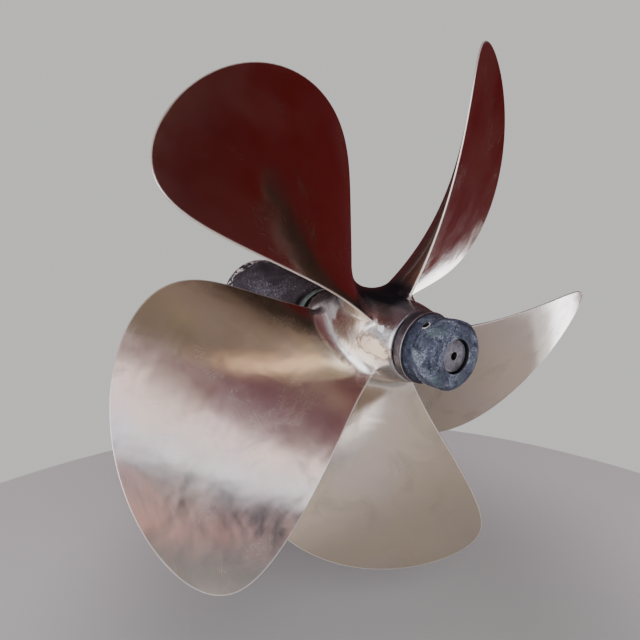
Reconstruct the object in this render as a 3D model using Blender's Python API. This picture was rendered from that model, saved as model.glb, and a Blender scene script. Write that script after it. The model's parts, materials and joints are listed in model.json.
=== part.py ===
"""A ship's propeller with its shaft end, nut and zinc anode, turning in the stern boss that carries it.

Metres, +Z up, +Y towards the ship's bow, +X to starboard. The origin lies on the boss's forward ring
face, straight above the shaft. Stations along the shaft, here called y, are counted from the
propeller's own centre plane, forward positive.
"""

import math

import bmesh
import bpy
import numpy as np
from mathutils import Matrix

# Places
PROPELLER_FROM_FACE = 0.450  # boss's forward face to the propeller's centre plane
SHAFT_BELOW_ORIGIN = 0.076  # origin to the shaft's axis
FIRST_BLADE_ANGLE = math.radians(-21.0)  # from straight up, clockwise as seen from aft
GAP = 0.0003  # between pieces that touch
SMOOTH_ANGLE = math.radians(35.0)
SIDES = 48  # flats round each turned piece
ROUND_STEPS = 4  # flats round a rounded corner

# Blades
BLADES = 5
TIP_RADIUS = 0.500
ROOT_RADIUS = 0.080  # where the blade's curves start
BURIED_RADIUS = 0.052  # the blade's inner end, inside the hub
ROOT_PITCH = 0.875  # metres forward for each turn
MIDDLE_PITCH = 1.275
TIP_PITCH = 1.360
ROOT_CHORD = 0.188
MIDDLE_CHORD = 0.396
TIP_CHORD = 0.478
CHORD_SWELL = 0.286  # fills the outer half of the blade and slims the inner half
TIP_ROUNDNESS = 6.2
SKEW_LINEAR = -0.339  # radians
SKEW_SQUARE = 0.446
SKEW_FOURTH = -0.561
RAKE_LINEAR = -0.018
RAKE_SQUARE = 0.031
ROOT_THICKNESS = 0.036
TIP_THICKNESS = 0.007
THICKNESS_FALL = 0.85
EDGE_THICKNESS = 0.0032
EDGE_FULLNESS = 0.80
ROOT_FILLET = 0.026
BLADE_STATIONS = 19
BLADE_POINTS = 16
TIP_STOP = 0.98  # share of the half turn that spaces the stations, short of the very tip

# Hub
HUB_RADIUS = 0.080
HUB_WIDEST_AT = 0.015
HUB_FORWARD = 0.129
HUB_FORWARD_RADIUS = 0.067
HUB_AFT = 0.124
HUB_AFT_RADIUS = 0.0612
HUB_FULLNESS = 2.5
HUB_CHAMFER = 0.0025
HUB_STEPS = 14

# Shaft
SHAFT_RADIUS = 0.040
TAPER = 0.050  # radius lost for each metre of hub
THREAD_RADIUS = 0.026
THREAD_CHAMFER = 0.002
CENTRE_HOLE_RADIUS = 0.0067
CENTRE_HOLE_DEPTH = 0.014
SHAFT_END_INSIDE_FACE = 0.004
THREAD_PAST_NUT = 0.0053

# Seals and nut
AFT_SEAL_LENGTH = 0.0035
AFT_SEAL_IN = 0.0047  # how far it lies inside the hub's end
FORWARD_SEAL_LENGTH = 0.008
FORWARD_SEAL_WALL = 0.010
COLLAR_LENGTH = 0.0155
COLLAR_IN = 0.0017  # how far it lies inside the hub's end
COLLAR_CHAMFER = 0.0015
NUT_BODY_LENGTH = 0.0500
NUT_BODY_WALL = 0.014

# Anode
ANODE_RIM_RADIUS = 0.0555
ANODE_RIM_LENGTH = 0.013
ANODE_WAIST = 0.0045  # how far the waist lies inside the rim
ANODE_BULGE = 0.0030  # how far the bulge lies inside the rim
ANODE_WAIST_AT = 0.025  # from its forward end
ANODE_BULGE_AT = 0.046
ANODE_ROUND = 0.005
ANODE_RECESS_CLEARANCE = 0.0015  # round the shaft's threaded end
ANODE_RECESS_DEPTH = 0.0112
ANODE_RECESS_CHAMFER = 0.0015
ANODE_SCREWS = 3
ANODE_SCREW_AT = 0.0225
ANODE_SCREW_ANGLE = math.radians(-10.0)  # from the first blade
ANODE_SCREW_RADIUS = 0.0052
ANODE_SCREW_LENGTH = 0.0065
SOCKET_RADIUS = 0.0029
SOCKET_DEPTH = 0.0035

# Boss and bearing
BOSS_END_RADIUS = 0.0680
BOSS_FACE_RADIUS = 0.1030
BOSS_END_FROM_HUB = 0.051  # hub's forward end to the boss's aft end
BOSS_CHAMFER = 0.004
RUNNING_CLEARANCE = 0.0006
LINING_WALL = 0.0056
SHELL_WALL = 0.0045
FLUTES = 10
FLUTE_DEPTH = 0.0030
GASKET_LENGTH = 0.0125
GASKET_IN = 0.0095  # how far it lies inside the boss's end
RING_LENGTH = 0.0130
RING_IN = 0.0070  # how far it lies inside the boss's end
RING_CLEARANCE = 0.0040  # round the shaft
RING_CHAMFER = 0.0015
RING_SCREWS = 6
RING_SCREW_RADIUS = 0.0040
RING_SCREW_HEIGHT = 0.0030
RING_SOCKET_RADIUS = 0.0018
RING_SOCKET_DEPTH = 0.0015

# Radii that follow from them
AFT_SEAL_RADIUS = HUB_AFT_RADIUS - AFT_SEAL_IN
COLLAR_RADIUS = HUB_AFT_RADIUS - COLLAR_IN
NUT_BODY_RADIUS = THREAD_RADIUS + NUT_BODY_WALL
ANODE_RECESS_RADIUS = THREAD_RADIUS + ANODE_RECESS_CLEARANCE
LINING_BORE_RADIUS = SHAFT_RADIUS + RUNNING_CLEARANCE
SHELL_BORE_RADIUS = LINING_BORE_RADIUS + LINING_WALL + GAP
SHELL_RADIUS = SHELL_BORE_RADIUS + SHELL_WALL
BOSS_BORE_RADIUS = SHELL_RADIUS + GAP
GASKET_RADIUS = BOSS_END_RADIUS - GASKET_IN
RING_RADIUS = BOSS_END_RADIUS - RING_IN
RING_BORE_RADIUS = SHAFT_RADIUS + RING_CLEARANCE
RING_SCREW_CIRCLE = 0.5 * (RING_RADIUS + RING_BORE_RADIUS)

# Stations that follow from them
FORWARD_FACE = PROPELLER_FROM_FACE
COLLAR_FORWARD = -HUB_AFT - GAP - AFT_SEAL_LENGTH - GAP
ANODE_FORWARD = COLLAR_FORWARD - COLLAR_LENGTH - GAP
NUT_END = ANODE_FORWARD + GAP - NUT_BODY_LENGTH
SHAFT_END = NUT_END - THREAD_PAST_NUT
ANODE_END = NUT_END - GAP - ANODE_RECESS_DEPTH
BOSS_END = HUB_FORWARD + BOSS_END_FROM_HUB
RING_FORWARD = BOSS_END - GAP - GASKET_LENGTH - GAP
RING_AFT = RING_FORWARD - RING_LENGTH


def clear_scene():
    """Removes whatever the scene starts with."""
    for thing in list(bpy.data.objects):
        bpy.data.objects.remove(thing, do_unlink=True)


def material(name, colour, roughness, metallic):
    """One Principled material."""
    made = bpy.data.materials.new(name)
    made.use_nodes = True
    shader = made.node_tree.nodes["Principled BSDF"]
    shader.inputs["Base Color"].default_value = (*colour, 1.0)
    shader.inputs["Roughness"].default_value = roughness
    shader.inputs["Metallic"].default_value = metallic
    return made


def add(name, mesh, finish, parent, angle=0.0):
    """Puts a mesh into the scene under its body's empty, turned about the shaft by the angle."""
    mesh.shade_smooth()
    mesh.set_sharp_from_angle(angle=SMOOTH_ANGLE)
    mesh.materials.clear()
    mesh.materials.append(finish)
    thing = bpy.data.objects.new(name, mesh)
    bpy.context.scene.collection.objects.link(thing)
    thing.parent = parent
    thing.rotation_euler = (0.0, angle, 0.0)
    return thing


def mesh_from(name, bm):
    """Turns a finished bmesh into a mesh with its faces pointing out."""
    bmesh.ops.recalc_face_normals(bm, faces=bm.faces)
    mesh = bpy.data.meshes.new(name)
    bm.to_mesh(mesh)
    bm.free()
    return mesh


def turned(name, profile):
    """A solid of revolution about the shaft: a closed outline of (y, radius) points.

    A point of radius 0 lies on the axis and becomes one vertex.
    """
    bm = bmesh.new()
    rings = []
    for y, radius in profile:
        if radius == 0.0:
            rings.append([bm.verts.new((0.0, y, 0.0))] * SIDES)
            continue
        turns = [2.0 * math.pi * k / SIDES for k in range(SIDES)]
        rings.append([bm.verts.new((radius * math.sin(t), y, radius * math.cos(t))) for t in turns])
    for ring, following in zip(rings, rings[1:] + rings[:1]):
        for k in range(SIDES):
            corners = [ring[k], ring[(k + 1) % SIDES], following[(k + 1) % SIDES], following[k]]
            different = list(dict.fromkeys(corners))
            if len(different) > 2:
                bm.faces.new(different)
    return mesh_from(name, bm)


def combined(first, others, operation):
    """The first mesh joined with, or cut by, each of the others in turn."""
    base = bpy.data.objects.new(first.name + "_base", first)
    bpy.context.scene.collection.objects.link(base)
    helpers = []
    for index, (mesh, placed) in enumerate(others):
        helper = bpy.data.objects.new(f"{first.name}_tool_{index}", mesh)
        helper.matrix_world = placed
        helper.hide_render = True
        helper.display_type = "WIRE"
        bpy.context.scene.collection.objects.link(helper)
        helpers.append(helper)
        modifier = base.modifiers.new(f"{operation}_{index}", "BOOLEAN")
        modifier.operation = operation
        modifier.solver = "EXACT"
        modifier.object = helper
    bpy.context.view_layer.update()
    graph = bpy.context.evaluated_depsgraph_get()
    result = bpy.data.meshes.new_from_object(base.evaluated_get(graph))
    for thing in [base, *helpers]:
        bpy.data.objects.remove(thing, do_unlink=True)
    return result


def turned_about_shaft(angle):
    """The turn about the shaft that brings what stands straight up to this angle."""
    return Matrix.Rotation(angle, 4, "Y")


def three_point(x, at_start, at_middle, at_end):
    """The parabola through values at x = 0, 0.5 and 1."""
    start = at_start * (2 * x - 1) * (x - 1)
    return start + at_middle * 4 * x * (1 - x) + at_end * x * (2 * x - 1)


def hub_radius(y):
    """The hub's outer radius at a station: fullest near the middle, falling to each end by a power curve."""
    forward = np.clip((y - HUB_WIDEST_AT) / (HUB_FORWARD - HUB_WIDEST_AT), 0.0, 1.0)
    aft = np.clip((HUB_WIDEST_AT - y) / (HUB_WIDEST_AT + HUB_AFT), 0.0, 1.0)
    lost_forward = (HUB_RADIUS - HUB_FORWARD_RADIUS) * forward**HUB_FULLNESS
    lost_aft = (HUB_RADIUS - HUB_AFT_RADIUS) * aft**HUB_FULLNESS
    return HUB_RADIUS - lost_forward - lost_aft


def fillet(height):
    """How far a round fillet stands out from the blade at a height above the hub."""
    rise = np.clip(height, 0.0, ROOT_FILLET)
    return ROOT_FILLET - np.sqrt(ROOT_FILLET**2 - (ROOT_FILLET - rise) ** 2)


def blade_stations():
    """Radii of the blade's sections, spaced like a cosine: close in the fillet and towards the round tip."""
    turn = np.linspace(0.0, TIP_STOP * math.pi, BLADE_STATIONS)
    return BURIED_RADIUS + (TIP_RADIUS - BURIED_RADIUS) * 0.5 * (1.0 - np.cos(turn))


def blade_section(radius):
    """One section on the cylinder of this radius: its pitch angle, chord, middle angle, rake and thickness."""
    x = (radius - ROOT_RADIUS) / (TIP_RADIUS - ROOT_RADIUS)
    pitch = three_point(x, ROOT_PITCH, MIDDLE_PITCH, TIP_PITCH)
    plain_chord = three_point(x, ROOT_CHORD, MIDDLE_CHORD, TIP_CHORD)
    chord = plain_chord + CHORD_SWELL * x * (1 - x) * (2 * x - 1)
    chord *= math.sqrt(max(0.0, 1.0 - max(x, 0.0) ** TIP_ROUNDNESS))
    skew = SKEW_LINEAR * x + SKEW_SQUARE * x**2 + SKEW_FOURTH * x**4
    rake = RAKE_LINEAR * x + RAKE_SQUARE * x**2
    thickness = TIP_THICKNESS + (ROOT_THICKNESS - TIP_THICKNESS) * (1.0 - max(x, 0.0)) ** THICKNESS_FALL
    return pitch, chord, skew, rake, thickness


def on_cylinder(radius, section, reach, offset):
    """Points on the cylinder of this radius: reach runs along the helical chord, offset stands off it forward."""
    pitch, _, skew, rake, _ = section
    slope = math.atan2(pitch, 2.0 * math.pi * radius)
    middle = rake + pitch * skew / (2.0 * math.pi)
    y = middle + reach * math.sin(slope) + offset * math.cos(slope)
    angle = skew + (reach * math.cos(slope) - offset * math.sin(slope)) / radius
    return np.stack([radius * np.sin(angle), y, radius * np.cos(angle)], axis=1)


def section_ring(radius):
    """The section's outline: up the aft face from trailing to leading edge and back along the forward face.

    The aft face is the plain helical surface and all the thickness lies forward of it. Near the hub each
    side moves out by the fillet at its height above the hub.
    """
    section = blade_section(radius)
    _, chord, _, _, thickness = section
    along = -np.cos(np.linspace(0.0, math.pi, BLADE_POINTS))
    bulge = EDGE_THICKNESS + (thickness - EDGE_THICKNESS) * (1.0 - along**2) ** EDGE_FULLNESS
    reach = 0.5 * chord * along
    faces = []
    for side, offset in ((-1.0, np.zeros(BLADE_POINTS)), (1.0, bulge)):
        bare = on_cylinder(radius, section, reach, offset)
        out = fillet(radius - hub_radius(bare[:, 1]))
        faces.append(on_cylinder(radius, section, reach + out * along, offset + side * out))
    aft, forward = faces
    return np.concatenate([aft, forward[::-1]])


def blade_mesh():
    """One closed blade: sections joined from the hub out to the tip, with a cap at each end."""
    bm = bmesh.new()
    rings = [[bm.verts.new(p) for p in section_ring(r)] for r in blade_stations()]
    count = len(rings[0])
    for inner, outer in zip(rings, rings[1:]):
        for k in range(count):
            following = (k + 1) % count
            bm.faces.new((inner[k], inner[following], outer[following], outer[k]))
    for ring in (rings[0], rings[-1]):
        for k in range(BLADE_POINTS - 1):
            other = count - 1 - k
            bm.faces.new((ring[k], ring[k + 1], ring[other - 1], ring[other]))
    return mesh_from("blade", bm)


def hub_bore(y):
    """The radius of the hub's tapered bore at a station."""
    return SHAFT_RADIUS + GAP - TAPER * (HUB_FORWARD - y)


def hub_mesh():
    """The hub before boring: a barrel with chamfered ends."""
    stations = np.linspace(-HUB_AFT + HUB_CHAMFER, HUB_FORWARD - HUB_CHAMFER, HUB_STEPS)
    outline = [(y, float(hub_radius(y))) for y in stations]
    outline.append((HUB_FORWARD, HUB_FORWARD_RADIUS - HUB_CHAMFER))
    outline.append((HUB_FORWARD, 0.0))
    outline.append((-HUB_AFT, 0.0))
    outline.append((-HUB_AFT, HUB_AFT_RADIUS - HUB_CHAMFER))
    return turned("hub", outline)


def bore_cutter():
    """The tapered bore as a solid that runs past both ends of the hub."""
    ahead = HUB_FORWARD + HUB_CHAMFER
    astern = -HUB_AFT - HUB_CHAMFER
    outline = [(ahead, 0.0), (ahead, hub_bore(ahead)), (astern, hub_bore(astern)), (astern, 0.0)]
    return turned("hub_bore", outline)


def propeller_mesh():
    """The casting: the hub with its blades joined to it, then bored for the shaft."""
    blade = blade_mesh()
    step = 2.0 * math.pi / BLADES
    blades = [(blade, turned_about_shaft(k * step)) for k in range(BLADES)]
    casting = combined(hub_mesh(), blades, "UNION")
    return combined(casting, [(bore_cutter(), Matrix.Identity(4))], "DIFFERENCE")


def shaft_mesh():
    """The shaft: full size in the bearing, tapered in the hub, threaded end with a centre hole."""
    outline = [
        (FORWARD_FACE - SHAFT_END_INSIDE_FACE, 0.0),
        (FORWARD_FACE - SHAFT_END_INSIDE_FACE, SHAFT_RADIUS),
        (HUB_FORWARD, SHAFT_RADIUS),
        (-HUB_AFT, hub_bore(-HUB_AFT) - GAP),
        (-HUB_AFT, THREAD_RADIUS),
        (SHAFT_END + THREAD_CHAMFER, THREAD_RADIUS),
        (SHAFT_END, THREAD_RADIUS - THREAD_CHAMFER),
        (SHAFT_END, CENTRE_HOLE_RADIUS),
        (SHAFT_END + CENTRE_HOLE_DEPTH, 0.0),
    ]
    return turned("propeller_shaft", outline)


def ring_mesh(name, start, length, outer, inner, chamfer=0.0):
    """A flat ring that runs aft from its start, with chamfered outer corners if it has a chamfer."""
    end = start - length
    outline = [(start, inner), (start, outer - chamfer)]
    if chamfer:
        outline += [(start - chamfer, outer), (end + chamfer, outer)]
    outline += [(end, outer - chamfer), (end, inner)]
    return turned(name, outline)


def nut_mesh():
    """The nut: a round collar against the hub's seal and a round body inside the anode."""
    bore = THREAD_RADIUS + GAP
    collar_end = COLLAR_FORWARD - COLLAR_LENGTH
    outline = [
        (COLLAR_FORWARD, bore),
        (COLLAR_FORWARD, COLLAR_RADIUS - COLLAR_CHAMFER),
        (COLLAR_FORWARD - COLLAR_CHAMFER, COLLAR_RADIUS),
        (collar_end + COLLAR_CHAMFER, COLLAR_RADIUS),
        (collar_end, COLLAR_RADIUS - COLLAR_CHAMFER),
        (collar_end, NUT_BODY_RADIUS),
        (NUT_END, NUT_BODY_RADIUS),
        (NUT_END, bore),
    ]
    return turned("propeller_nut", outline)


def cosine_run(start, end, steps):
    """Points from one (y, radius) to another along half a cosine wave, the first left out."""
    points = []
    for k in range(1, steps + 1):
        part = k / steps
        wave = 0.5 - 0.5 * math.cos(math.pi * part)
        points.append((start[0] + part * (end[0] - start[0]), start[1] + wave * (end[1] - start[1])))
    return points


def anode_outline():
    """The anode's outer curve: a rim, a waist that swells again in a cosine wave, and a round end."""
    rim = (ANODE_FORWARD - ANODE_RIM_LENGTH, ANODE_RIM_RADIUS)
    waist = (ANODE_FORWARD - ANODE_WAIST_AT, ANODE_RIM_RADIUS - ANODE_WAIST)
    bulge = (ANODE_FORWARD - ANODE_BULGE_AT, ANODE_RIM_RADIUS - ANODE_BULGE)
    outline = [(ANODE_FORWARD, ANODE_RIM_RADIUS), rim]
    outline += cosine_run(rim, waist, 4)
    outline += cosine_run(waist, bulge, 3)
    for k in range(ROUND_STEPS + 1):
        turn = 0.5 * math.pi * k / ROUND_STEPS
        y = ANODE_END + ANODE_ROUND * (1.0 - math.sin(turn))
        outline.append((y, bulge[1] - ANODE_ROUND * (1.0 - math.cos(turn))))
    return outline


def anode_mesh():
    """The anode: a sleeve round the nut with an end wall, a round recess and three screw holes."""
    inside = NUT_BODY_RADIUS + GAP
    outline = anode_outline()
    outline += [
        (ANODE_END, ANODE_RECESS_RADIUS + ANODE_RECESS_CHAMFER),
        (ANODE_END + ANODE_RECESS_CHAMFER, ANODE_RECESS_RADIUS),
        (NUT_END - GAP, ANODE_RECESS_RADIUS),
        (NUT_END - GAP, inside),
        (ANODE_FORWARD, inside),
    ]
    sleeve = turned("anode", outline)
    hole = peg_mesh("hole", ANODE_SCREW_RADIUS + GAP, ANODE_RIM_RADIUS, 0.5 * NUT_BODY_RADIUS, 0.0)
    up = Matrix.Translation((0.0, ANODE_FORWARD - ANODE_SCREW_AT, 0.0))
    holes = [(hole, turned_about_shaft(angle) @ up) for angle in screw_angles()]
    return combined(sleeve, holes, "DIFFERENCE")


def screw_angles():
    """Angles of the anode's set screws from the first blade."""
    return [ANODE_SCREW_ANGLE + 2.0 * math.pi * k / ANODE_SCREWS for k in range(ANODE_SCREWS)]


def peg_mesh(name, radius, length, base, socket_depth, socket_radius=SOCKET_RADIUS, sides=16):
    """A round peg standing on +Z from its base, with a six-sided socket in its top if it has a depth."""
    bm = bmesh.new()
    made = bmesh.ops.create_circle(bm, cap_ends=True, segments=sides, radius=radius)
    bmesh.ops.translate(bm, verts=made["verts"], vec=(0.0, 0.0, base))
    pulled = bmesh.ops.extrude_face_region(bm, geom=list(bm.faces))
    top = [v for v in pulled["geom"] if isinstance(v, bmesh.types.BMVert)]
    bmesh.ops.translate(bm, verts=top, vec=(0.0, 0.0, length))
    peg = mesh_from(name, bm)
    if socket_depth == 0.0:
        return peg
    socket = peg_mesh("socket", socket_radius, 2.0 * socket_depth, base + length - socket_depth, 0.0, sides=6)
    return combined(peg, [(socket, Matrix.Identity(4))], "DIFFERENCE")


def boss_mesh():
    """The stern boss: a cone that widens towards the hull, bored for the bearing."""
    bore = BOSS_BORE_RADIUS
    outline = [
        (FORWARD_FACE, bore),
        (FORWARD_FACE, BOSS_FACE_RADIUS),
        (BOSS_END + BOSS_CHAMFER, BOSS_END_RADIUS),
        (BOSS_END, BOSS_END_RADIUS - BOSS_CHAMFER),
        (BOSS_END, bore),
    ]
    return turned("stern_boss", outline)


def lining_mesh():
    """The rubber lining: a round tube whose bore has rounded flutes along it."""
    sides = 8 * FLUTES
    bm = bmesh.new()
    rings = []
    for y, outer in ((FORWARD_FACE, True), (BOSS_END, True), (BOSS_END, False), (FORWARD_FACE, False)):
        ring = []
        for k in range(sides):
            turn = 2.0 * math.pi * k / sides
            flute = FLUTE_DEPTH * max(0.0, math.cos(FLUTES * turn)) ** 0.5
            radius = SHELL_BORE_RADIUS - GAP if outer else LINING_BORE_RADIUS + flute
            ring.append(bm.verts.new((radius * math.sin(turn), y, radius * math.cos(turn))))
        rings.append(ring)
    for ring, following in zip(rings, rings[1:] + rings[:1]):
        for k in range(sides):
            bm.faces.new((ring[k], ring[(k + 1) % sides], following[(k + 1) % sides], following[k]))
    return mesh_from("bearing_lining", bm)


def empty(name, location, angle):
    """A named empty that carries the pieces of one body."""
    made = bpy.data.objects.new(name, None)
    bpy.context.scene.collection.objects.link(made)
    made.location = location
    made.rotation_euler = (0.0, angle, 0.0)
    return made


def build_fixed(place):
    """The boss with its bearing, gasket, ring and screws."""
    paint = material("boss_paint", (0.20, 0.17, 0.19), 0.75, 0.0)
    bronze = material("bearing_bronze", (0.45, 0.33, 0.18), 0.45, 1.0)
    green = material("patinated_bronze", (0.20, 0.26, 0.23), 0.65, 0.5)
    rubber = material("rubber", (0.015, 0.015, 0.016), 0.8, 0.0)
    steel = material("screw_steel", (0.40, 0.40, 0.40), 0.4, 1.0)
    add("stern_boss", boss_mesh(), paint, place)
    length = FORWARD_FACE - BOSS_END
    shell = ring_mesh("bearing_shell", FORWARD_FACE, length, SHELL_RADIUS, SHELL_BORE_RADIUS)
    add("bearing_shell", shell, bronze, place)
    add("bearing_lining", lining_mesh(), rubber, place)
    gasket = ring_mesh("boss_gasket", BOSS_END - GAP, GASKET_LENGTH, GASKET_RADIUS, RING_BORE_RADIUS)
    add("boss_gasket", gasket, rubber, place)
    ring = ring_mesh(
        "retaining_ring", RING_FORWARD, RING_LENGTH, RING_RADIUS, RING_BORE_RADIUS, RING_CHAMFER
    )
    add("retaining_ring", ring, green, place)
    head = peg_mesh(
        "ring_screw", RING_SCREW_RADIUS, RING_SCREW_HEIGHT, 0.0, RING_SOCKET_DEPTH, RING_SOCKET_RADIUS
    )
    head.transform(Matrix.Translation((0, RING_AFT - GAP, RING_SCREW_CIRCLE)) @ Matrix.Rotation(math.pi / 2, 4, "X"))
    for k in range(RING_SCREWS):
        add(f"ring_screw_{k + 1}", head.copy(), steel, place, 2.0 * math.pi * (k + 0.5) / RING_SCREWS)


def build_rotor(place):
    """The propeller on its shaft with seals, nut, anode and set screws."""
    polished = material("polished_bronze", (0.62, 0.52, 0.40), 0.28, 1.0)
    brown = material("brown_bronze", (0.30, 0.21, 0.15), 0.45, 0.9)
    zinc = material("zinc", (0.24, 0.25, 0.31), 0.7, 0.4)
    steel = material("shaft_steel", (0.36, 0.33, 0.31), 0.4, 1.0)
    rubber = material("seal_rubber", (0.012, 0.012, 0.012), 0.8, 0.0)
    add("propeller", propeller_mesh(), polished, place)
    add("propeller_shaft", shaft_mesh(), steel, place)
    seal_start = HUB_FORWARD + GAP + FORWARD_SEAL_LENGTH
    seal_bore = SHAFT_RADIUS + GAP
    forward_seal = ring_mesh(
        "forward_seal", seal_start, FORWARD_SEAL_LENGTH, seal_bore + FORWARD_SEAL_WALL, seal_bore
    )
    add("forward_seal", forward_seal, rubber, place)
    aft_seal = ring_mesh(
        "aft_seal", -HUB_AFT - GAP, AFT_SEAL_LENGTH, AFT_SEAL_RADIUS, THREAD_RADIUS + GAP
    )
    add("aft_seal", aft_seal, rubber, place)
    add("propeller_nut", nut_mesh(), brown, place)
    add("anode", anode_mesh(), zinc, place)
    screw = peg_mesh("anode_screw", ANODE_SCREW_RADIUS, ANODE_SCREW_LENGTH, NUT_BODY_RADIUS + GAP, SOCKET_DEPTH)
    screw.transform(Matrix.Translation((0.0, ANODE_FORWARD - ANODE_SCREW_AT, 0.0)))
    for k, angle in enumerate(screw_angles()):
        add(f"anode_screw_{k + 1}", screw.copy(), steel, place, angle)


def main():
    """Builds both bodies: the fixed one and the one that turns."""
    clear_scene()
    centre = (0.0, -PROPELLER_FROM_FACE, -SHAFT_BELOW_ORIGIN)
    build_fixed(empty("stern_gear", centre, 0.0))
    build_rotor(empty("rotor", centre, FIRST_BLADE_ANGLE))


main()
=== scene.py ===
"""Looks of a ship's propeller with its nut, zinc anode, shaft end and the stern boss that carries it.

Metres, +Z up, +Y towards the bow, +X to starboard. Stations along the shaft, here called y, are counted
from the propeller's centre plane, forward positive, and angles about the shaft from straight up,
clockwise as seen from aft. Every shape is a grid of points worked out from two parameters and written
into its mesh in place, so each object stays at the origin.
"""

from __future__ import annotations

import json
import logging
import math
from collections.abc import Sequence
from dataclasses import dataclass, field
from enum import Enum

import bmesh
import bpy
import numpy as np
from mathutils import Matrix, Vector

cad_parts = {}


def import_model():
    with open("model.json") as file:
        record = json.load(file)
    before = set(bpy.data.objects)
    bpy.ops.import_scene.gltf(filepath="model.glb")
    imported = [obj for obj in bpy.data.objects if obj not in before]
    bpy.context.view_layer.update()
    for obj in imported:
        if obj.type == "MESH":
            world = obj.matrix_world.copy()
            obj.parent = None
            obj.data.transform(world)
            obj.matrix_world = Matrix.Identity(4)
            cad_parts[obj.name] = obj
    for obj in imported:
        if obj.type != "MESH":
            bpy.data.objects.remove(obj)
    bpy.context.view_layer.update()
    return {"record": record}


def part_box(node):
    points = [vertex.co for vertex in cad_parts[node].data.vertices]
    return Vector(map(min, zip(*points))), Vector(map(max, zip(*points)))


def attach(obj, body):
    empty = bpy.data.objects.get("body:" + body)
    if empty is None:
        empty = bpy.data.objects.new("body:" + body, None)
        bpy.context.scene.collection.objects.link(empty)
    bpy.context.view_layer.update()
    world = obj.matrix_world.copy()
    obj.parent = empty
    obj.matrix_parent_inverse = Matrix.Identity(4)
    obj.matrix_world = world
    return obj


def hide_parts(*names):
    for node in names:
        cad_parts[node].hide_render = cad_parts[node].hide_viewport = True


LOG = logging.getLogger("propeller")
TURN = 2.0 * math.pi
WELD = 2.0e-6  # points closer than this become one
HAIR = 1.0e-5  # how far a turned piece stops short of its solid's forward end
CENTRE = (0.0, -0.450, -0.076)  # the propeller's centre, on the shaft's axis

Colour = tuple[float, float, float]
Corner = tuple[float, float, float]
Stops = tuple[tuple[float, Colour], ...]
Socket = bpy.types.NodeSocket
Material = bpy.types.Material


class Body(str, Enum):
    """The two bodies that pieces ride on."""

    FIXED = "stern_gear"
    TURNING = "rotor"


class Slot(str, Enum):
    """The record's material slots."""

    POLISHED = "polished_bronze"
    BROWN = "brown_bronze"
    BEARING = "bearing_bronze"
    PATINATED = "patinated_bronze"
    ZINC = "zinc"
    SHAFT = "shaft_steel"
    SCREW = "screw_steel"
    RUBBER = "rubber"
    PAINT = "boss_paint"


# Node trees


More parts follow.
